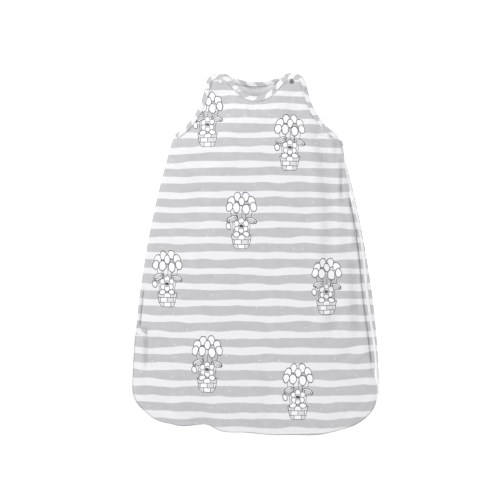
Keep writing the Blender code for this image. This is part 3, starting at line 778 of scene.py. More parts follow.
def knit(place, wale=0.0013, course=0.0011):
    """The height of a jersey's stitches: rows of small V loops, a little uneven."""
    x, z, _ = place.split()
    across = (x + 5.0).to("PINGPONG", wale / 2)
    loops = ((z + 5.0) + across * 1.2).to("PINGPONG", course / 2)
    return (across * (1 / wale) + loops * (1.2 / course)) + place.noise(900.0, 2.0) * 0.6


def new_material(name, values):
    """An empty material with numbers on its shader's sockets, and its tree."""
    made = bpy.data.materials.new(name)
    made.use_nodes = True
    for socket, value in values.items():
        made.node_tree.nodes["Principled BSDF"].inputs[socket].default_value = value
    return made, made.node_tree


def cloth_material(name, roughness=0.88, sheen=0.25):
    """An empty cloth material: its tree, and the cut cloth's coordinates."""
    values = {"Roughness": roughness, "Sheen Weight": sheen}
    values.update({"Sheen Roughness": 0.6, "Specular IOR Level": 0.25})
    made, tree = new_material(name, values)
    return made, tree, Signal(tree, add_node(tree, "ShaderNodeUVMap", uv_map="cut").outputs["UV"])


def dress(material, colour, height, distance, strength=0.8):
    """Gives a material its colour and its fine relief."""
    tree = material.node_tree
    shader = tree.nodes["Principled BSDF"]
    tree.links.new(colour, shader.inputs["Base Color"])
    raised = add_node(tree, "ShaderNodeBump", {"Height": height, "Distance": distance, "Strength": strength})
    tree.links.new(raised.outputs["Normal"], shader.inputs["Normal"])
    return material


def printed_jersey():
    made, tree, place = cloth_material("printed jersey")
    spot = motif_place(place)
    colour = draw_strings(tree, striped_print(tree, place), spot)
    for n, (centre, radii, turn, fill, line) in enumerate(MOTIF):
        if n == OVALS_BEHIND_POT:
            colour = draw_pot(tree, colour, spot)
        values = {"Under": colour, "Place": spot, "Centre": (*centre, 0), "Radii": (*radii, 1)}
        values.update({"Turn": -turn, "Fill": fill, "Line": line})
        colour = add_node(tree, "ShaderNodeGroup", values, node_tree=OVAL).outputs["Colour"]
    mottle = place.noise(60.0, 4.0).ramp(0.3, 0.8, 0.0, 0.10)
    return dress(made, mix_colour(tree, mottle, colour, (0.72, 0.72, 0.74, 1)), knit(place), 0.00022)


JERSEY = printed_jersey()

# ---------------------------------------------------------------- front and back shells
# The outer cloth: one cut piece each for front and back, sewn at the sides and hem over the
# wadding, so that it swells between its seams and falls in soft folds beside the zip.


# Each crease: its course down the cloth as (x, z) points, its half width and its depth.
CREASES = (
    (((0.1640, -0.150), (0.1640, -0.225), (0.1665, -0.262)), 0.0026, 0.0055),
    (((0.1725, -0.205), (0.1875, -0.271), (0.1930, -0.300), (0.1915, -0.352)), 0.0036, 0.0055),
    (((0.1860, -0.350), (0.1885, -0.430), (0.1960, -0.530)), 0.0062, 0.0060),
    (
        ((0.1180, -0.100), (0.1310, -0.180), (0.1390, -0.260), (0.1375, -0.370), (0.1480, -0.520)),
        0.0090,
        0.0065,
    ),
    (((0.0700, -0.020), (0.0740, -0.090), (0.0760, -0.160)), 0.0110, 0.0022),
    (((0.1220, -0.070), (0.1400, -0.105), (0.1560, -0.150), (0.1580, -0.185)), 0.0040, 0.0042),
    (((0.1480, -0.092), (0.1640, -0.124), (0.1680, -0.160)), 0.0028, 0.0034),
    (((-0.1060, -0.150), (-0.1100, -0.260), (-0.1080, -0.340)), 0.0140, 0.0026),
    (((-0.2110, -0.495), (-0.2120, -0.590)), 0.0036, 0.0045),
    (((0.0200, -0.560), (0.0300, -0.640), (0.0280, -0.700)), 0.0120, 0.0026),
)


def crease(p, course, half, deep):
    """A valley along a course, with a low ridge on each side of it."""
    top, low = course[0][1], course[-1][1]
    reach = smooth((top - p.y) / 0.030) * smooth((p.y - low) / 0.040)
    if reach <= 0 or not course[0][0] - 0.06 < p.x < course[-1][0] + 0.06:
        return 0.0
    for (ax, az), (bx, bz) in zip(course, course[1:]):
        if p.y >= bz:
            middle = ax + (bx - ax) * smooth((az - p.y) / (az - bz))
            break
    off = abs(p.x - middle)
    return reach * deep * (0.45 * bump(off, 2.3 * half, 1.3 * half) - bump(off, 0, half))


def front_folds(p):
    """Soft folds and creases of the hanging front, as a depth to add at a point of the cut."""
    x, z = p
    add = sum(crease(p, *each) for each in CREASES)
    add -= 0.0040 * bump(z, -0.5005, 0.0060) * bump(x, -0.2260, 0.0130)
    add += 0.0030 * bump(z, -0.5120, 0.0080) * bump(x, -0.2200, 0.0130)
    add -= 0.0040 * bump(x, -0.098, 0.030) * bump(z, -0.680, 0.040)
    add += 0.0030 * bump(x, -0.150, 0.030) * bump(z, -0.672, 0.030)
    crumpled = bump(x, 0.150, 0.026) * bump(z, -0.122, 0.026)
    add += 0.0026 * crumpled * math.sin(x * 330 + z * 260) * math.sin(z * 410 - x * 130)
    add += 0.0006 * math.sin(x * 41 + 2 * math.sin(z * 23)) * math.sin(z * 29 + math.sin(x * 17))
    return add


def pucker(p, bound, seam):
    """Little gathers square to the sewn edges, dying out a finger's width in."""
    along = p.x * 0.9 + p.y * 0.7
    ripple = math.sin(along * 430 + 3 * math.sin(p.x * 61)) * math.sin(p.y * 380 + 2 * math.sin(p.y * 47))
    near = math.exp(-bound / 0.012) * 0.00075 + math.exp(-seam / 0.016) * 0.0006
    return ripple * near - 0.0008 * bump(bound, 0.0098, 0.0018)


def sewn_group(piece, held):
    group = piece.vertex_groups.new(name="sewn")
    for index, weight in held:
        group.add([index], weight, "REPLACE")


def hang_cloth(piece, push, slack, most, steps=18):
    """Lets the cloth settle over the wadding: it is a little too large, so it buckles softly."""
    rest = [v.co.copy() for v in piece.data.vertices]
    choose(piece)
    modifier = piece.modifiers.new("settle", "CLOTH")
    cloth = modifier.settings
    cloth.quality = 6
    cloth.mass = 0.25
    cloth.tension_stiffness = 18
    cloth.compression_stiffness = 18
    cloth.shear_stiffness = 8
    cloth.bending_stiffness = 0.9
    cloth.vertex_group_mass = "sewn"
    cloth.shrink_min = -slack
    cloth.use_pressure = True
    cloth.uniform_pressure_force = push
    cloth.effector_weights.gravity = 0.05
    modifier.collision_settings.use_collision = False
    modifier.collision_settings.use_self_collision = False
    modifier.point_cache.frame_start, modifier.point_cache.frame_end = 1, steps
    for step in range(1, steps + 1):
        bpy.context.scene.frame_set(step)
    bpy.ops.object.modifier_apply(modifier=modifier.name)
    bpy.context.scene.frame_set(1)
    for vertex, was in zip(piece.data.vertices, rest):
        moved = vertex.co - was
        if moved.length > most:
            moved *= most / moved.length
        vertex.co = was + moved


WRAP = 0.040  # the width of the back's cloth that goes into its turn to the front
WRAP_TURN = 0.017
WRAP_FRONT = 0.0055  # how far it comes forward


def wrap_back(p, depth):
    """Place of a point of the back: near its right edge the cloth comes round to the front."""
    forward = zip_forward(p.y)
    half = side_half(p.y) if p.y < UNDERARM.y else 1.0
    inside = half - p.x
    flat = Vector((p.x, depth, p.y))
    if forward <= 0 or inside > WRAP:
        return flat
    strip, full = back_strip(p.y), max(depth, full_back_depth(p.y, half))
    back_turn = math.pi / 4 * (WRAP_TURN + full)
    front_turn = math.pi / 4 * (strip + WRAP_FRONT)
    walked = (WRAP - WRAP_TURN + back_turn + front_turn) * (1 - max(inside, 0.0) / WRAP)
    if walked < WRAP - WRAP_TURN:
        return Vector((half - WRAP + walked, depth, p.y)).lerp(flat, 1 - forward)
    walked -= WRAP - WRAP_TURN
    if walked < back_turn:
        a = walked / back_turn * math.pi / 2
        x, y = half - WRAP_TURN * (1 - math.sin(a)), 0.001 + (full - 0.001) * math.cos(a)
    else:
        a = (walked - back_turn) / front_turn * math.pi / 2
        x, y = half - strip * (1 - math.cos(a)), 0.001 - WRAP_FRONT * math.sin(a)
    return Vector((x, y, p.y)).lerp(flat, 1 - forward)


def full_back_depth(z, half):
    return DEPTHS[False].shell(Vector((half - WRAP_TURN - 0.001, z)))


DEPTHS = {True: Depths(True), False: Depths(False)}
shell_points = {}
for front in (True, False):
    word, side = ("front", -1) if front else ("back", 1)
    points, faces, parts = flat_cloth(panel_grid(front))
    depths = DEPTHS[front]
    placed, held = [], []
    for n, p in enumerate(points):
        seam, bound = depths.distances(p)
        depth = depths.shell(p)
        placed.append(Vector((p.x, -depth, p.y)) if front else wrap_back(p, depth))
        fixed = max(1 - smooth((seam - 0.006) / 0.012), 1 - smooth((bound - 0.004) / 0.014))
        if p.y > ROOT_Z - 0.012 and abs(p.x) > ROOT_IN.x - 0.004:
            fixed = 1.0
        if not front and p.x > 0.05 and zip_forward(p.y) > 0 and side_half(p.y) - p.x < WRAP:
            fixed = 1.0
        held.append((n, max(fixed, 0.001)))
    if front:
        faces = [list(reversed(f)) for f in faces]
    shell = mesh_piece(word + "_jersey", placed, faces, points, parts)
    if sum(f.normal.y * f.area for f in shell.data.polygons) * side < 0:
        shell.data.flip_normals()
    sewn_group(shell, held)
    push, slack, most = (1.6, 0.012, 0.007) if front else (0.8, 0.008, 0.004)
    hang_cloth(shell, push, slack, most)
    shell_points[word] = (points, faces, parts, [v.co.copy() for v in shell.data.vertices])
    shell.vertex_groups.clear()
    apply_modifier(shell, "SUBSURF", levels=1, render_levels=1, subdivision_type="CATMULL_CLARK")
    for vertex in shell.data.vertices:
        p = Vector((vertex.co.x, vertex.co.z))
        seam, bound = depths.distances(p)
        reach = 1 - math.exp(-seam / 0.005)
        add = pucker(p, bound, seam) * reach
        if front:
            add += front_folds(p) * reach
        if front or zip_forward(p.y) == 0 or p.x < 0 or side_half(p.y) - p.x > WRAP_TURN:
            vertex.co.y += side * add
    choose(shell)
    if front:
        bpy.ops.object.mode_set(mode="EDIT")
        bpy.ops.mesh.separate(type="MATERIAL")
        bpy.ops.object.mode_set(mode="OBJECT")
    cut_pieces = [o for o in bpy.context.selected_objects if o.type == "MESH"]
    for piece in cut_pieces:
        piece.data.materials.clear()
        piece.data.materials.append(JERSEY)
        piece.data.polygons.foreach_set("material_index", [0] * len(piece.data.polygons))
        middle = sum((v.co.x for v in piece.data.vertices)) / len(piece.data.vertices)
        if not front:
            piece.name = "back_jersey"
        elif abs(middle) < 0.03:
            piece.name = "front_jersey"
        else:
            piece.name = "left_strap_jersey" if middle < 0 else "right_strap_jersey"
        apply_modifier(piece, "SOLIDIFY", thickness=CLOTH, offset=-1, use_even_offset=False)
        shade_smooth(piece, 50)

cover = joints["cover_open"]
COVER_AT, COVER_ALONG = Vector(cover["pos_m"]), Vector(cover["axis"])
COVER_IN = Vector((-COVER_ALONG.z, 0, COVER_ALONG.x)).normalized()
if COVER_IN.x < 0:
    COVER_IN.negate()


def joins_cover(piece, *nodes):
    """A piece of the front: its place is baked into its mesh, and the given parts of the model are hidden."""
    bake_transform(piece)
    if nodes:
        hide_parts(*nodes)
    return piece


def joins_strap(piece, word, *nodes):
    """A piece of a front strap: its place is baked into its mesh, and the given parts of the model are
    hidden.
    """
    "strap_" + word
    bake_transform(piece)
    if nodes:
        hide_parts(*nodes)
    return piece


def cloth_area(grids):
    """The flat area of the grids that are joined into a panel."""
    total = 0.0
    for grid in grids:
        for low, high in zip(grid, grid[1:]):
            for i in range(len(low) - 1):
                a, b, c, d = low[i], low[i + 1], high[i + 1], high[i]
                total += abs((c - a).cross(d - b)) / 2
    return total


front_grids, back_grids = panel_grid(True), panel_grid(False)
FRONT_AREA = cloth_area([g for g, part in front_grids if part == 0])
STRAP_AREA = cloth_area([g for g, part in front_grids if part == 1])
BACK_AREA = cloth_area([g for g, part in back_grids])
named = bpy.data.objects
joins_cover(named["front_jersey"], "front_shell")
for word in ("left", "right"):
    strap = named[word + "_strap_jersey"]
    joins_strap(strap, word, f"strap_{word}_shell")
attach(named["back_jersey"], "back")
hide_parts("back_shell")

# ---------------------------------------------------------------- linings and wadding
# Plain pale jersey lines front, back and straps. Between it and the shell lies one layer of
# white polyester wadding, thick in the middle and thin under the seams and the binding.


def lining_jersey():
    made, tree, place = cloth_material("plain pale jersey", 0.9, 0.2)
    colour = mix_colour(tree, place.noise(90.0, 4.0), (0.65, 0.65, 0.660, 1), (0.71, 0.71, 0.720, 1))
    return dress(made, colour, knit(place), 0.0002)


def fleece():
    made, tree, place = cloth_material("polyester wadding", 0.95, 0.4)
    tufts = place.noise(380.0, 6.0, Distortion=1.2)
    colour = mix_colour(tree, tufts, (0.80, 0.80, 0.79, 1), (0.93, 0.93, 0.92, 1))
    return dress(made, colour, tufts, 0.0012, 0.9)


LINING_JERSEY, WADDING = lining_jersey(), fleece()
PARTS = {0: "panel", 1: "left_strap", 2: "right_strap"}


def thick_piece(name, inner, outer, faces, flat, stuff):
    """A closed layer between two sets of points that share their faces."""
    used = sorted({i for f in faces for i in f})
    numbers = {old: new for new, old in enumerate(used)}
    count = len(used)
    points = [inner[i] for i in used] + [outer[i] for i in used]
    low = [[numbers[i] for i in f] for f in faces]
    high = [[i + count for i in reversed(f)] for f in low]
    edges = {}
    for f in low:
        for a, b in zip(f, f[1:] + f[:1]):
            edges[(a, b)] = edges.get((a, b), 0) + 1
    rim = [[b, a, a + count, b + count] for a, b in edges if (b, a) not in edges]
    piece = mesh_piece(name, points, low + high + rim, [flat[i] for i in used] * 2)
    piece.data.materials.append(stuff)
    face_outwards(piece)
    return shade_smooth(piece, 50)


def fold_floor(p):
    """The deepest that the front's folds go near a point, so that the wadding stays under them."""
    reach = 0.0040
    near = [(0, 0), (reach, 0), (-reach, 0), (0, reach), (0, -reach), (reach / 2, 0), (-reach / 2, 0)]
    return min(0.0, min(front_folds(p + Vector(step)) for step in near))


def rides_with(piece, front, part):
    if not front:
        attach(piece, "back")
    elif part == 0:
        joins_cover(piece)
    else:
        joins_strap(piece, "left" if part == 1 else "right")


for front in (True, False):
    word, side = ("front", -1) if front else ("back", 1)
    points, faces, parts, shells = shell_points[word]
    depths = DEPTHS[front]
    near = [depths.distances(p) for p in points]
    wrapped = [not front and p.x > 0.05 and zip_forward(p.y) > 0 for p in points]
    inner, outer, pad_in, pad_out = [], [], [], []
    for p, cloth, (seam, bound) in zip(points, shells, near):
        wave = 0.0007 * math.sin(p.x * 95 + 2 * math.sin(p.y * 31)) * math.sin(p.y * 60)
        long_x, long_z = p.x * 38 + 3 * math.sin(p.y * 17), p.y * 21 + 2 * math.sin(p.x * 13)
        wave += 0.0013 * math.sin(long_x) * math.sin(long_z)
        wave += 0.0006 * math.sin((p.x + p.y) * 150 + 4 * math.sin((p.x - p.y) * 23))
        wave *= 1 - math.exp(-seam / 0.02)
        room = max(0.0007, depths.lining(p) + wave)
        clear = 0.0004 + 0.0010 * math.exp(-bound / 0.012) + 0.0008 * math.exp(-seam / 0.016)
        shell_in = side * cloth.y - CLOTH - clear + (fold_floor(p) if front else 0.0)
        room = max(min(room, shell_in - LINING - 0.0006), 0.0004)
        inner.append(Vector((p.x, side * room, p.y)))
        outer.append(Vector((p.x, side * (room + LINING), p.y)))
        low = room + LINING + 0.0001
        high = max(shell_in, low + 0.0003)
        pad_in.append(Vector((p.x, side * low, p.y)))
        pad_out.append(Vector((p.x, side * high, p.y)))
    for part in sorted(set(parts)):
        own = [f for f, tag in zip(faces, parts) if tag == part]
        lined_from = [0.0045 if w else 0.0006 for w in wrapped]
        stuffed_from = [0.019 if w else 0.0070 for w in wrapped]
        lined = [f for f in own if all(near[i][0] > lined_from[i] for i in f)]
        stuffed = [f for f in own if all(near[i][0] > stuffed_from[i] and near[i][1] > 0.0015 for i in f)]
        name = word if part == 0 else PARTS[part]
        node = word if part == 0 else ("strap_left" if part == 1 else "strap_right")
        lining = thick_piece(name + "_lining_jersey", inner, outer, lined, points, LINING_JERSEY)
        pad = thick_piece(name + "_padding", pad_in, pad_out, stuffed, points, WADDING)
        for piece, kind in ((lining, "lining"), (pad, "wadding")):
            rides_with(piece, front, part)
            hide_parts(f"{node}_{kind}")
        area = {0: FRONT_AREA if front else BACK_AREA}.get(part, STRAP_AREA)
        flat = ((0.479, 0.667) if front else (0.479, 0.699)) if part == 0 else (0.068, 0.030)
        min(area, flat[0] * flat[1])

# ---------------------------------------------------------------- bias binding
# A strip of the striped jersey, cut on the bias so that its stripes run slantwise, folded over
# the raw edges of neck, armholes and straps, and topstitched through all the layers.
BAND = 0.0088
BAND_OUT = 0.0012  # how far the fold stands out beyond the cut edge
BAND_STEP, STITCH_PITCH = 0.0026, 0.0032


def bias_jersey():
    made, tree, place = cloth_material("bias-cut striped jersey")
    period, wander = 0.031, 1.1
    x, z, _ = place.split()
    waver = place.vector("MULTIPLY", (16, 40, 1)).noise(1.0, 2.0)
    count = ((x + z * 0.9) + 3.0) / period + waver * wander
    grey = count.to("PINGPONG", 0.5).ramp(0.22, 0.25, 1.0, 0.0)
    return dress(made, mix_colour(tree, grey, STRIPE_WHITE, STRIPE_GREY), knit(place), 0.0002)


def hard_material(name, roughness, metallic=0.0):
    """An empty material for thread, plastic or metal: its tree, and the place on the piece."""
    made, tree = new_material(name, {"Roughness": roughness, "Metallic": metallic})
    return made, tree, Signal(tree, add_node(tree, "ShaderNodeTexCoord").outputs["Object"])


def thread():
    made, tree, place = hard_material("white sewing thread", 0.6)
    twist = place.node("ShaderNodeTexWave", {"Vector": place, "Scale": 900.0, "Distortion": 1.0}, "Fac")
    colour = mix_colour(tree, twist, (0.74, 0.74, 0.75, 1), (0.86, 0.86, 0.87, 1))
    return dress(made, colour, twist, 0.0001, 0.6)


BIAS, THREAD = bias_jersey(), thread()


def line_length(points):
    return sum((b - a).length for a, b in zip(points, points[1:]))


ROUND = ((-1, 0), (0, 1), (1, 0), (0, -1))


def tube_faces(base, rings):
    """Faces of a closed tube of rings of four points each, numbered from base."""
    faces = []
    for k in range(base, base + 4 * (rings - 1), 4):
        for j in range(4):
            m = (j + 1) % 4
            faces.append([k + j, k + m, k + 4 + m, k + 4 + j])
    end = base + 4 * (rings - 1)
    return faces + [[base, base + 1, base + 2, base + 3], [end + 3, end + 2, end + 1, end]]


def directions_in(points, outside, first=None, last=None):
    """Unit directions into the cloth at each point of an edge; outside is +1 or -1."""
    found = []
    for i in range(len(points)):
        along = (points[min(i + 1, len(points) - 1)] - points[max(i - 1, 0)]).normalized()
        found.append(Vector((along.y, -along.x)) * outside)
    for i, wanted in ((0, first), (-1, last)):
        if wanted is not None:
            found[i] = wanted / max(found[i].dot(wanted), 0.5)
    return found


def edge_depths(p, front):
    """Inner and outer face of the squeezed layers at a bound edge."""
    room = inner_room(p.x, p.y, front)
    return room, room + BOUND


BAND_SECTION = (
    # share of the band's width in from the fold, height over the cloth: outer leg, fold, inner leg
    (1.00, 0.00010),
    (0.985, 0.00075),
    (0.93, 0.00115),
    (0.80, 0.00105),
    (0.62, 0.00130),
    (0.42, 0.00165),
    (0.22, 0.00150),
    (0.07, 0.00090),
)


def binding_band(name, points, outside, front, start_u=0.0, first=None, last=None):
    """A folded band along an edge, a little gathered by its stitches."""
    side = -1 if front else 1
    count = max(8, round(line_length(points) / BAND_STEP))
    path = resample(points, [i / count for i in range(count + 1)])
    inwards = directions_in(path, outside, first, last)
    rows, flat, walked = [], [], start_u
    for i, (p, into) in enumerate(zip(path, inwards)):
        if i:
            walked += (p - path[i - 1]).length
        gather = math.sin(walked * 760 + 1.7 * math.sin(walked * 210))
        tip = p + into * BAND
        edge_in, edge_out = edge_depths(p, front)
        shell = DEPTHS[front].shell(tip)
        row, across = [], []
        for share, height in BAND_SECTION:
            q = p + into * (BAND * share * (1 + 0.025 * gather * share))
            q -= into.normalized() * BAND_OUT * (1 - share)
            cloth = edge_out + (shell - edge_out) * smooth(share * 1.05)
            row.append((q.x, side * (cloth + height * (1 + 0.22 * gather * (1 - share * 0.6))), q.y))
            across.append((walked, BAND * (1 - share)))
        out = p - into.normalized() * (BAND_OUT + 0.0006)
        row.append((out.x, side * (edge_in + edge_out) / 2, out.y))
        across.append((walked, BAND * 1.1))
        for share, height in reversed(BAND_SECTION):
            q = p + into * (BAND * share) - into.normalized() * BAND_OUT * (1 - share)
            row.append((q.x, side * (edge_in - height), q.y))
            across.append((walked, BAND * (1.2 + share)))
        mid = p + into * BAND * 0.55
        row.append((mid.x, side * (edge_in - 0.00005), mid.y))
        across.append((walked, BAND * 1.8))
        row.append((mid.x, side * (edge_out + 0.00005), mid.y))
        across.append((walked, BAND * 0.4))
        rows.append(row)
        flat.append(across)
    n = len(rows[0])
    verts = [q for row in rows for q in row]
    faces = []
    for i in range(len(rows) - 1):
        for j in range(n):
            k = (j + 1) % n
            faces.append([i * n + j, i * n + k, (i + 1) * n + k, (i + 1) * n + j])
    faces += [list(range(n)), [(len(rows) - 1) * n + j for j in reversed(range(n))]]
    band = mesh_piece(name, verts, faces, [q for across in flat for q in across])
    band.data.materials.append(BIAS)
    face_outwards(band)
    apply_modifier(band, "SUBSURF", levels=1, render_levels=1)
    return shade_smooth(band)


# A stitch: places along it, its half width and its rise out of the cloth.
STITCH = ((-1.0, 0.00006, -0.0004), (-0.6, 0.00022, 0.0002), (0.6, 0.00022, 0.0002), (1.0, 0.00006, -0.0004))
STITCH_OVER_CLOTH = 0.00105


def stitch_row(name, points, outside, front):
    """Short stitches along the band, a little in from its inner edge, on both its faces."""
    side = -1 if front else 1
    count = max(4, round(line_length(points) / STITCH_PITCH))
    path = resample(points, [(i + 0.5) / count for i in range(count)])
    inwards = directions_in(path, outside)
    verts, faces = [], []
    for p, into in zip(path, inwards):
        along = Vector((-into.y, into.x))
        at = p + into * (BAND * 0.83)
        edge_in, edge_out = edge_depths(p, front)
        shell = DEPTHS[front].shell(p + into * BAND)
        cloth = edge_out + (shell - edge_out) * smooth(0.87)
        for height, sign in ((cloth + STITCH_OVER_CLOTH, 1), (edge_in - STITCH_OVER_CLOTH, -1)):
            base = len(verts)
            for step, half, rise in STITCH:
                q = at + along * (0.00115 * step)
                for w, h in ROUND:
                    r = q + into * (half * w)
                    verts.append((r.x, side * (height + sign * (rise + half * h)), r.y))
            faces += tube_faces(base, len(STITCH))
    stitches = mesh_piece(name, verts, faces)
    stitches.data.materials.append(THREAD)
    face_outwards(stitches)
    return shade_smooth(stitches)


LEVEL = Vector((1, 0))
front_rise, front_fall = strap_end(FRONT_STRAP_TOP, ROOT_IN)
back_rise, back_fall = strap_end(BACK_STRAP_TOP, NECK_CORNER)
strap_edge = front_rise + front_fall[1:] + [ROOT_OUT]
arm_edge = resample(arm_line, [0.03 + 0.97 * i / 30 for i in range(31)])
neck_edge = list(reversed(neck_line)) + flipped(neck_line)[1:]
# One strip of binding runs from the right underarm over the strap, round the neck and down to
# the left underarm, so that its stripes run on from piece to piece.
walk = (
    ("right_armhole", "arm_binding_front_right", arm_edge, None, LEVEL * -1),
    ("right_strap", "strap_binding_right", list(reversed(strap_edge)), LEVEL * -1, LEVEL),
    ("neck", "neck_binding_front", neck_edge, LEVEL, LEVEL * -1),
    ("left_strap", "strap_binding_left", flipped(strap_edge), LEVEL * -1, LEVEL),
    ("left_armhole", "arm_binding_front_left", list(reversed(flipped(arm_edge))), LEVEL, None),
)
walked = 0.0
for word, node, edge, first, last in walk:
    band = binding_band(word + "_binding_band", edge, -1, True, walked, first, last)
    row = stitch_row(word + "_stitches", edge, -1, True)
    walked += line_length(edge)
    if "strap" in word:
        joins_strap(band, word.split("_")[0], node)
        joins_strap(row, word.split("_")[0])
    else:
        joins_cover(band, node)
        joins_cover(row)
back_half = back_neck_line + back_rise[1:] + back_fall[1:] + [ROOT_OUT]
around = list(arm_edge) + list(reversed(back_half))[1:]
around = around + list(reversed(flipped(around)))[1:]
band = binding_band("back_binding_band", around, -1, False)
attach(band, "back")
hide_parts("back_binding")
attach(stitch_row("back_stitches", around, -1, False), "back")

# ---------------------------------------------------------------- zip
# A white nylon coil zip, from the right underarm down the side, round the hem and up to a
# small sewn tab on the left. Each row of coils is sewn to its tape, and each tape to a shell.
ZIP_END_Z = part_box("zip_end_tab")[0].z
TOP_STOP_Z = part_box("zip_top_stop_back")[1].z
COIL_PITCH = 0.0019
ZIP_OUT, ZIP_FORWARD = 0.0016, 0.0052  # where the chain lies: out from the edge, or forward of it
ZIP_TILT = math.radians(62)


def zip_line():
    """Points of the chain's middle, with the way outwards and the way across it at each."""
    right = [p for p in side_line if p.y < TOP_STOP_Z]
    hem = list(hem_line)
    left = [p for p in reversed(flipped(side_line)) if p.y < ZIP_END_Z]
    edge = [hem_wave(p) for p in right + hem[1:] + left[1:]]
    count = round(line_length(edge) / COIL_PITCH)
    path = resample(edge, [i / count for i in range(count + 1)])
    found = []
    for i, p in enumerate(path):
        along = (path[min(i + 1, count)] - path[max(i - 1, 0)]).normalized()
        out = Vector((-along.y, along.x))
        if out.dot(p - Vector((0, -0.4))) < 0:
            out.negate()
        forward = zip_forward(p.y) if p.x > 0 else 0.0
        shift = ZIP_OUT * (1 - forward) - (back_strip(p.y) + zip_width(p.y) / 2 if p.x > 0 else 0)
        tilt = ZIP_TILT * forward
        outwards = Vector((out.x, 0, out.y))
        across = Vector((0, 1, 0)) * math.cos(tilt) + outwards * math.sin(tilt)
        face = outwards * math.cos(tilt) - Vector((0, 1, 0)) * math.sin(tilt)
        middle = Vector((p.x, 0, p.y)) + outwards * shift - Vector((0, 1, 0)) * (ZIP_FORWARD * forward)
        found.append((middle, across, face, Vector((along.x, 0, along.y))))
    return found


def tape_weave():
    made, tree, place = cloth_material("woven zip tape", 0.8, 0.15)
    ribs = place.node("ShaderNodeTexWave", {"Vector": place, "Scale": 220.0, "Distortion": 0.4}, "Fac")
    warp = place.node(
        "ShaderNodeTexWave", {"Vector": place, "Scale": 300.0, "Distortion": 0.3}, "Fac", bands_direction="Y"
    )
    both = ribs * warp
    colour = mix_colour(tree, both, (0.84, 0.84, 0.85, 1), (0.95, 0.95, 0.96, 1))
    return dress(made, colour, both, 0.00025, 0.9)


def nylon():
    made, tree, place = hard_material("white nylon coil", 0.38)
    cloud = place.noise(240.0, 3.0)
    colour = mix_colour(tree, cloud, (0.82, 0.82, 0.83, 1), (0.93, 0.93, 0.94, 1))
    return dress(made, colour, cloud, 0.00008, 0.5)


TAPE_WEAVE, NYLON = tape_weave(), nylon()
chain = zip_line()


def zip_tape(name, sign):
    """One tape: its coil edge, a corded rib, and the margin that is sewn under the shell."""
    cord = 0.0020
    offsets = (0.0004, 0.0012, cord, 0.0030, 0.0042, 0.0054)
    verts, faces, flat = [], [], []
    walked = 0.0
    for middle, across, face, _ in chain[::2]:
        walked += 2 * COIL_PITCH
        for top in (1, -1):
            for k, off in enumerate(offsets):
                rise = 0.0004 * bump(off, cord, 0.0005) - 0.16 * max(off - cord, 0)
                q = middle + across * (sign * off) + face * (-0.0006 + rise + top * 0.0002)
                verts.append(q)
                flat.append((walked, off))
    n = len(offsets)
    rows = len(verts) // (2 * n)
    for i in range(rows - 1):
        a, b = i * 2 * n, (i + 1) * 2 * n
        for k in range(n - 1):
            faces.append([a + k, a + k + 1, b + k + 1, b + k])
            faces.append([a + n + k + 1, a + n + k, b + n + k, b + n + k + 1])
        faces.append([a + n, a, b, b + n])
        faces.append([a + n - 1, a + 2 * n - 1, b + 2 * n - 1, b + n - 1])
    faces.append(list(range(n)) + list(reversed(range(n, 2 * n))))
    last = (rows - 1) * 2 * n
    faces.append([last + k for k in range(n, 2 * n)] + [last + k for k in reversed(range(n))])
    tape = mesh_piece(name, verts, faces, flat)
    tape.data.materials.append(TAPE_WEAVE)
    face_outwards(tape)
    return shade_smooth(tape)


def coil_row(name, sign):
    """One row of coils: each a bent loop that hooks past the middle of the chain."""
    verts, faces = [], []
    loop = ((0.0016, -0.0002), (0.0013, 0.0007), (0.0002, 0.0009), (-0.0005, 0.0004), (0.0002, -0.0003))
    for i in range(3, len(chain) - 2):
        middle, across, face, along = chain[i]
        centre = middle + along * (0.25 * COIL_PITCH * sign)
        base = len(verts)
        for off, rise in loop:
            q = centre + across * (sign * off) + face * rise
            for a, f in ROUND:
                verts.append(q + along * (a * 0.00042) + face * (f * 0.00028))
        faces += tube_faces(base, len(loop))
    row = mesh_piece(name, verts, faces)
    row.data.materials.append(NYLON)
    face_outwards(row)
    return shade_smooth(row)


for word, sign in (("front", -1), ("back", 1)):
    tape, row = zip_tape(word + "_zip_tape", sign), coil_row(word + "_zip_coil", sign)
    for piece, node, finish in ((tape, "zip_tape_", "zip_tape"), (row, "zip_teeth_", "zip_coil")):
        if word == "front":
            joins_cover(piece, node + word)
        else:
            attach(piece, "back")
            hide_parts(node + word)

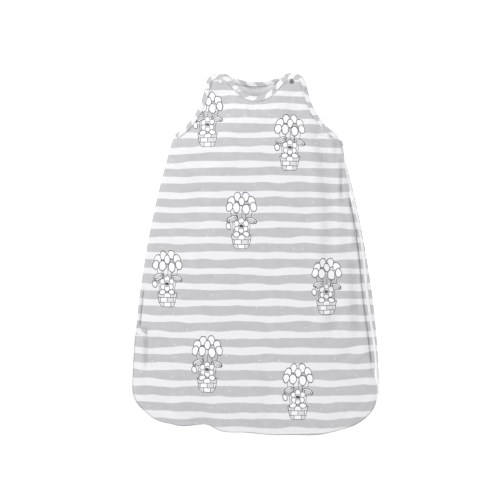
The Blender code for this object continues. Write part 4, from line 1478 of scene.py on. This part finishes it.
# The tab at the zip's left end: a folded scrap of binding, sewn flat over the end of the chain.
deselect()
TAB = Vector((-0.2225, -0.0075, -0.5010))
bpy.ops.mesh.primitive_cube_add(size=1, location=TAB, scale=(0.0220, 0.0022, 0.0125))
tab = bpy.context.object
tab.name = "zip_end_scrap"
bpy.ops.object.transform_apply(location=True, rotation=True, scale=True)
apply_modifier(tab, "BEVEL", width=0.0009, segments=3)
bpy.ops.object.mode_set(mode="EDIT")
bpy.ops.mesh.select_all(action="SELECT")
bpy.ops.mesh.subdivide(number_cuts=3)
bpy.ops.object.mode_set(mode="OBJECT")
for vertex in tab.data.vertices:
    x, z = vertex.co.x, vertex.co.z
    lies = -DEPTHS[True].shell(Vector((max(x, -side_half(z) + 0.0015), z))) - 0.0008
    vertex.co.y += lies - TAB.y + 0.0007 * math.sin(z * 700 + x * 300)
    vertex.co.z += 0.0006 * math.sin(x * 500)
cut = tab.data.uv_layers.new(name="cut")
for loop in tab.data.loops:
    co = tab.data.vertices[loop.vertex_index].co
    cut.data[loop.index].uv = (co.x, co.z)
tab.data.materials.clear()
tab.data.materials.append(BIAS)
shade_smooth(tab)
joins_cover(tab, "zip_end_tab")

# ---------------------------------------------------------------- slider, pull, stops and snaps
# The slider and its pull are zinc castings with white lacquer, a little worn in a fine random grain.
# The stops are crimped bits of the same metal. The snaps are nickel-plated brass, darkened all over
# as painted shade; the left snap's cap alone is a paler copy of that same metal, as painted light.


def coated_metal(name, colour, worn, metallic, roughness, scale):
    made, tree, place = hard_material(name, roughness, metallic)
    grain = place.noise(scale, 5.0)
    return dress(made, mix_colour(tree, grain.ramp(0.4, 0.75), colour, worn), grain, 0.00006, 0.5)


LACQUER = coated_metal("white lacquered zinc", (0.86, 0.86, 0.87, 1), (0.76, 0.76, 0.78, 1), 0.0, 0.32, 900.0)
# Snap metal with its colour darkened so that it looks shaded: painted shade.
SHADE_DARKENED_NICKEL = coated_metal("nickel-plated brass", (0.15, 0.15, 0.16, 1), (0.09, 0.09, 0.10, 1), 0.9, 0.24, 1400.0)
# A paler copy of the same snap metal, for the left cap only, so that it looks lit: painted light.
PAINTED_LIT_SNAP_CAP = coated_metal("snap brass painted pale as lit", (0.62, 0.62, 0.63, 1), (0.40, 0.40, 0.41, 1), 0.3, 0.30, 1400.0)
FINISHES = (("snap_left_cap", PAINTED_LIT_SNAP_CAP), ("snap_", SHADE_DARKENED_NICKEL), ("zip_slider", LACQUER), ("zip_pull", LACQUER))
FINISHES += (("zip_top_stop", LACQUER), ("zip_bottom_stop", LACQUER))
for name, node in frame["nodes"].items():
    for start, finish in FINISHES:
        if name.startswith(start):
            node.data.materials.clear()
            node.data.materials.append(finish)
            break
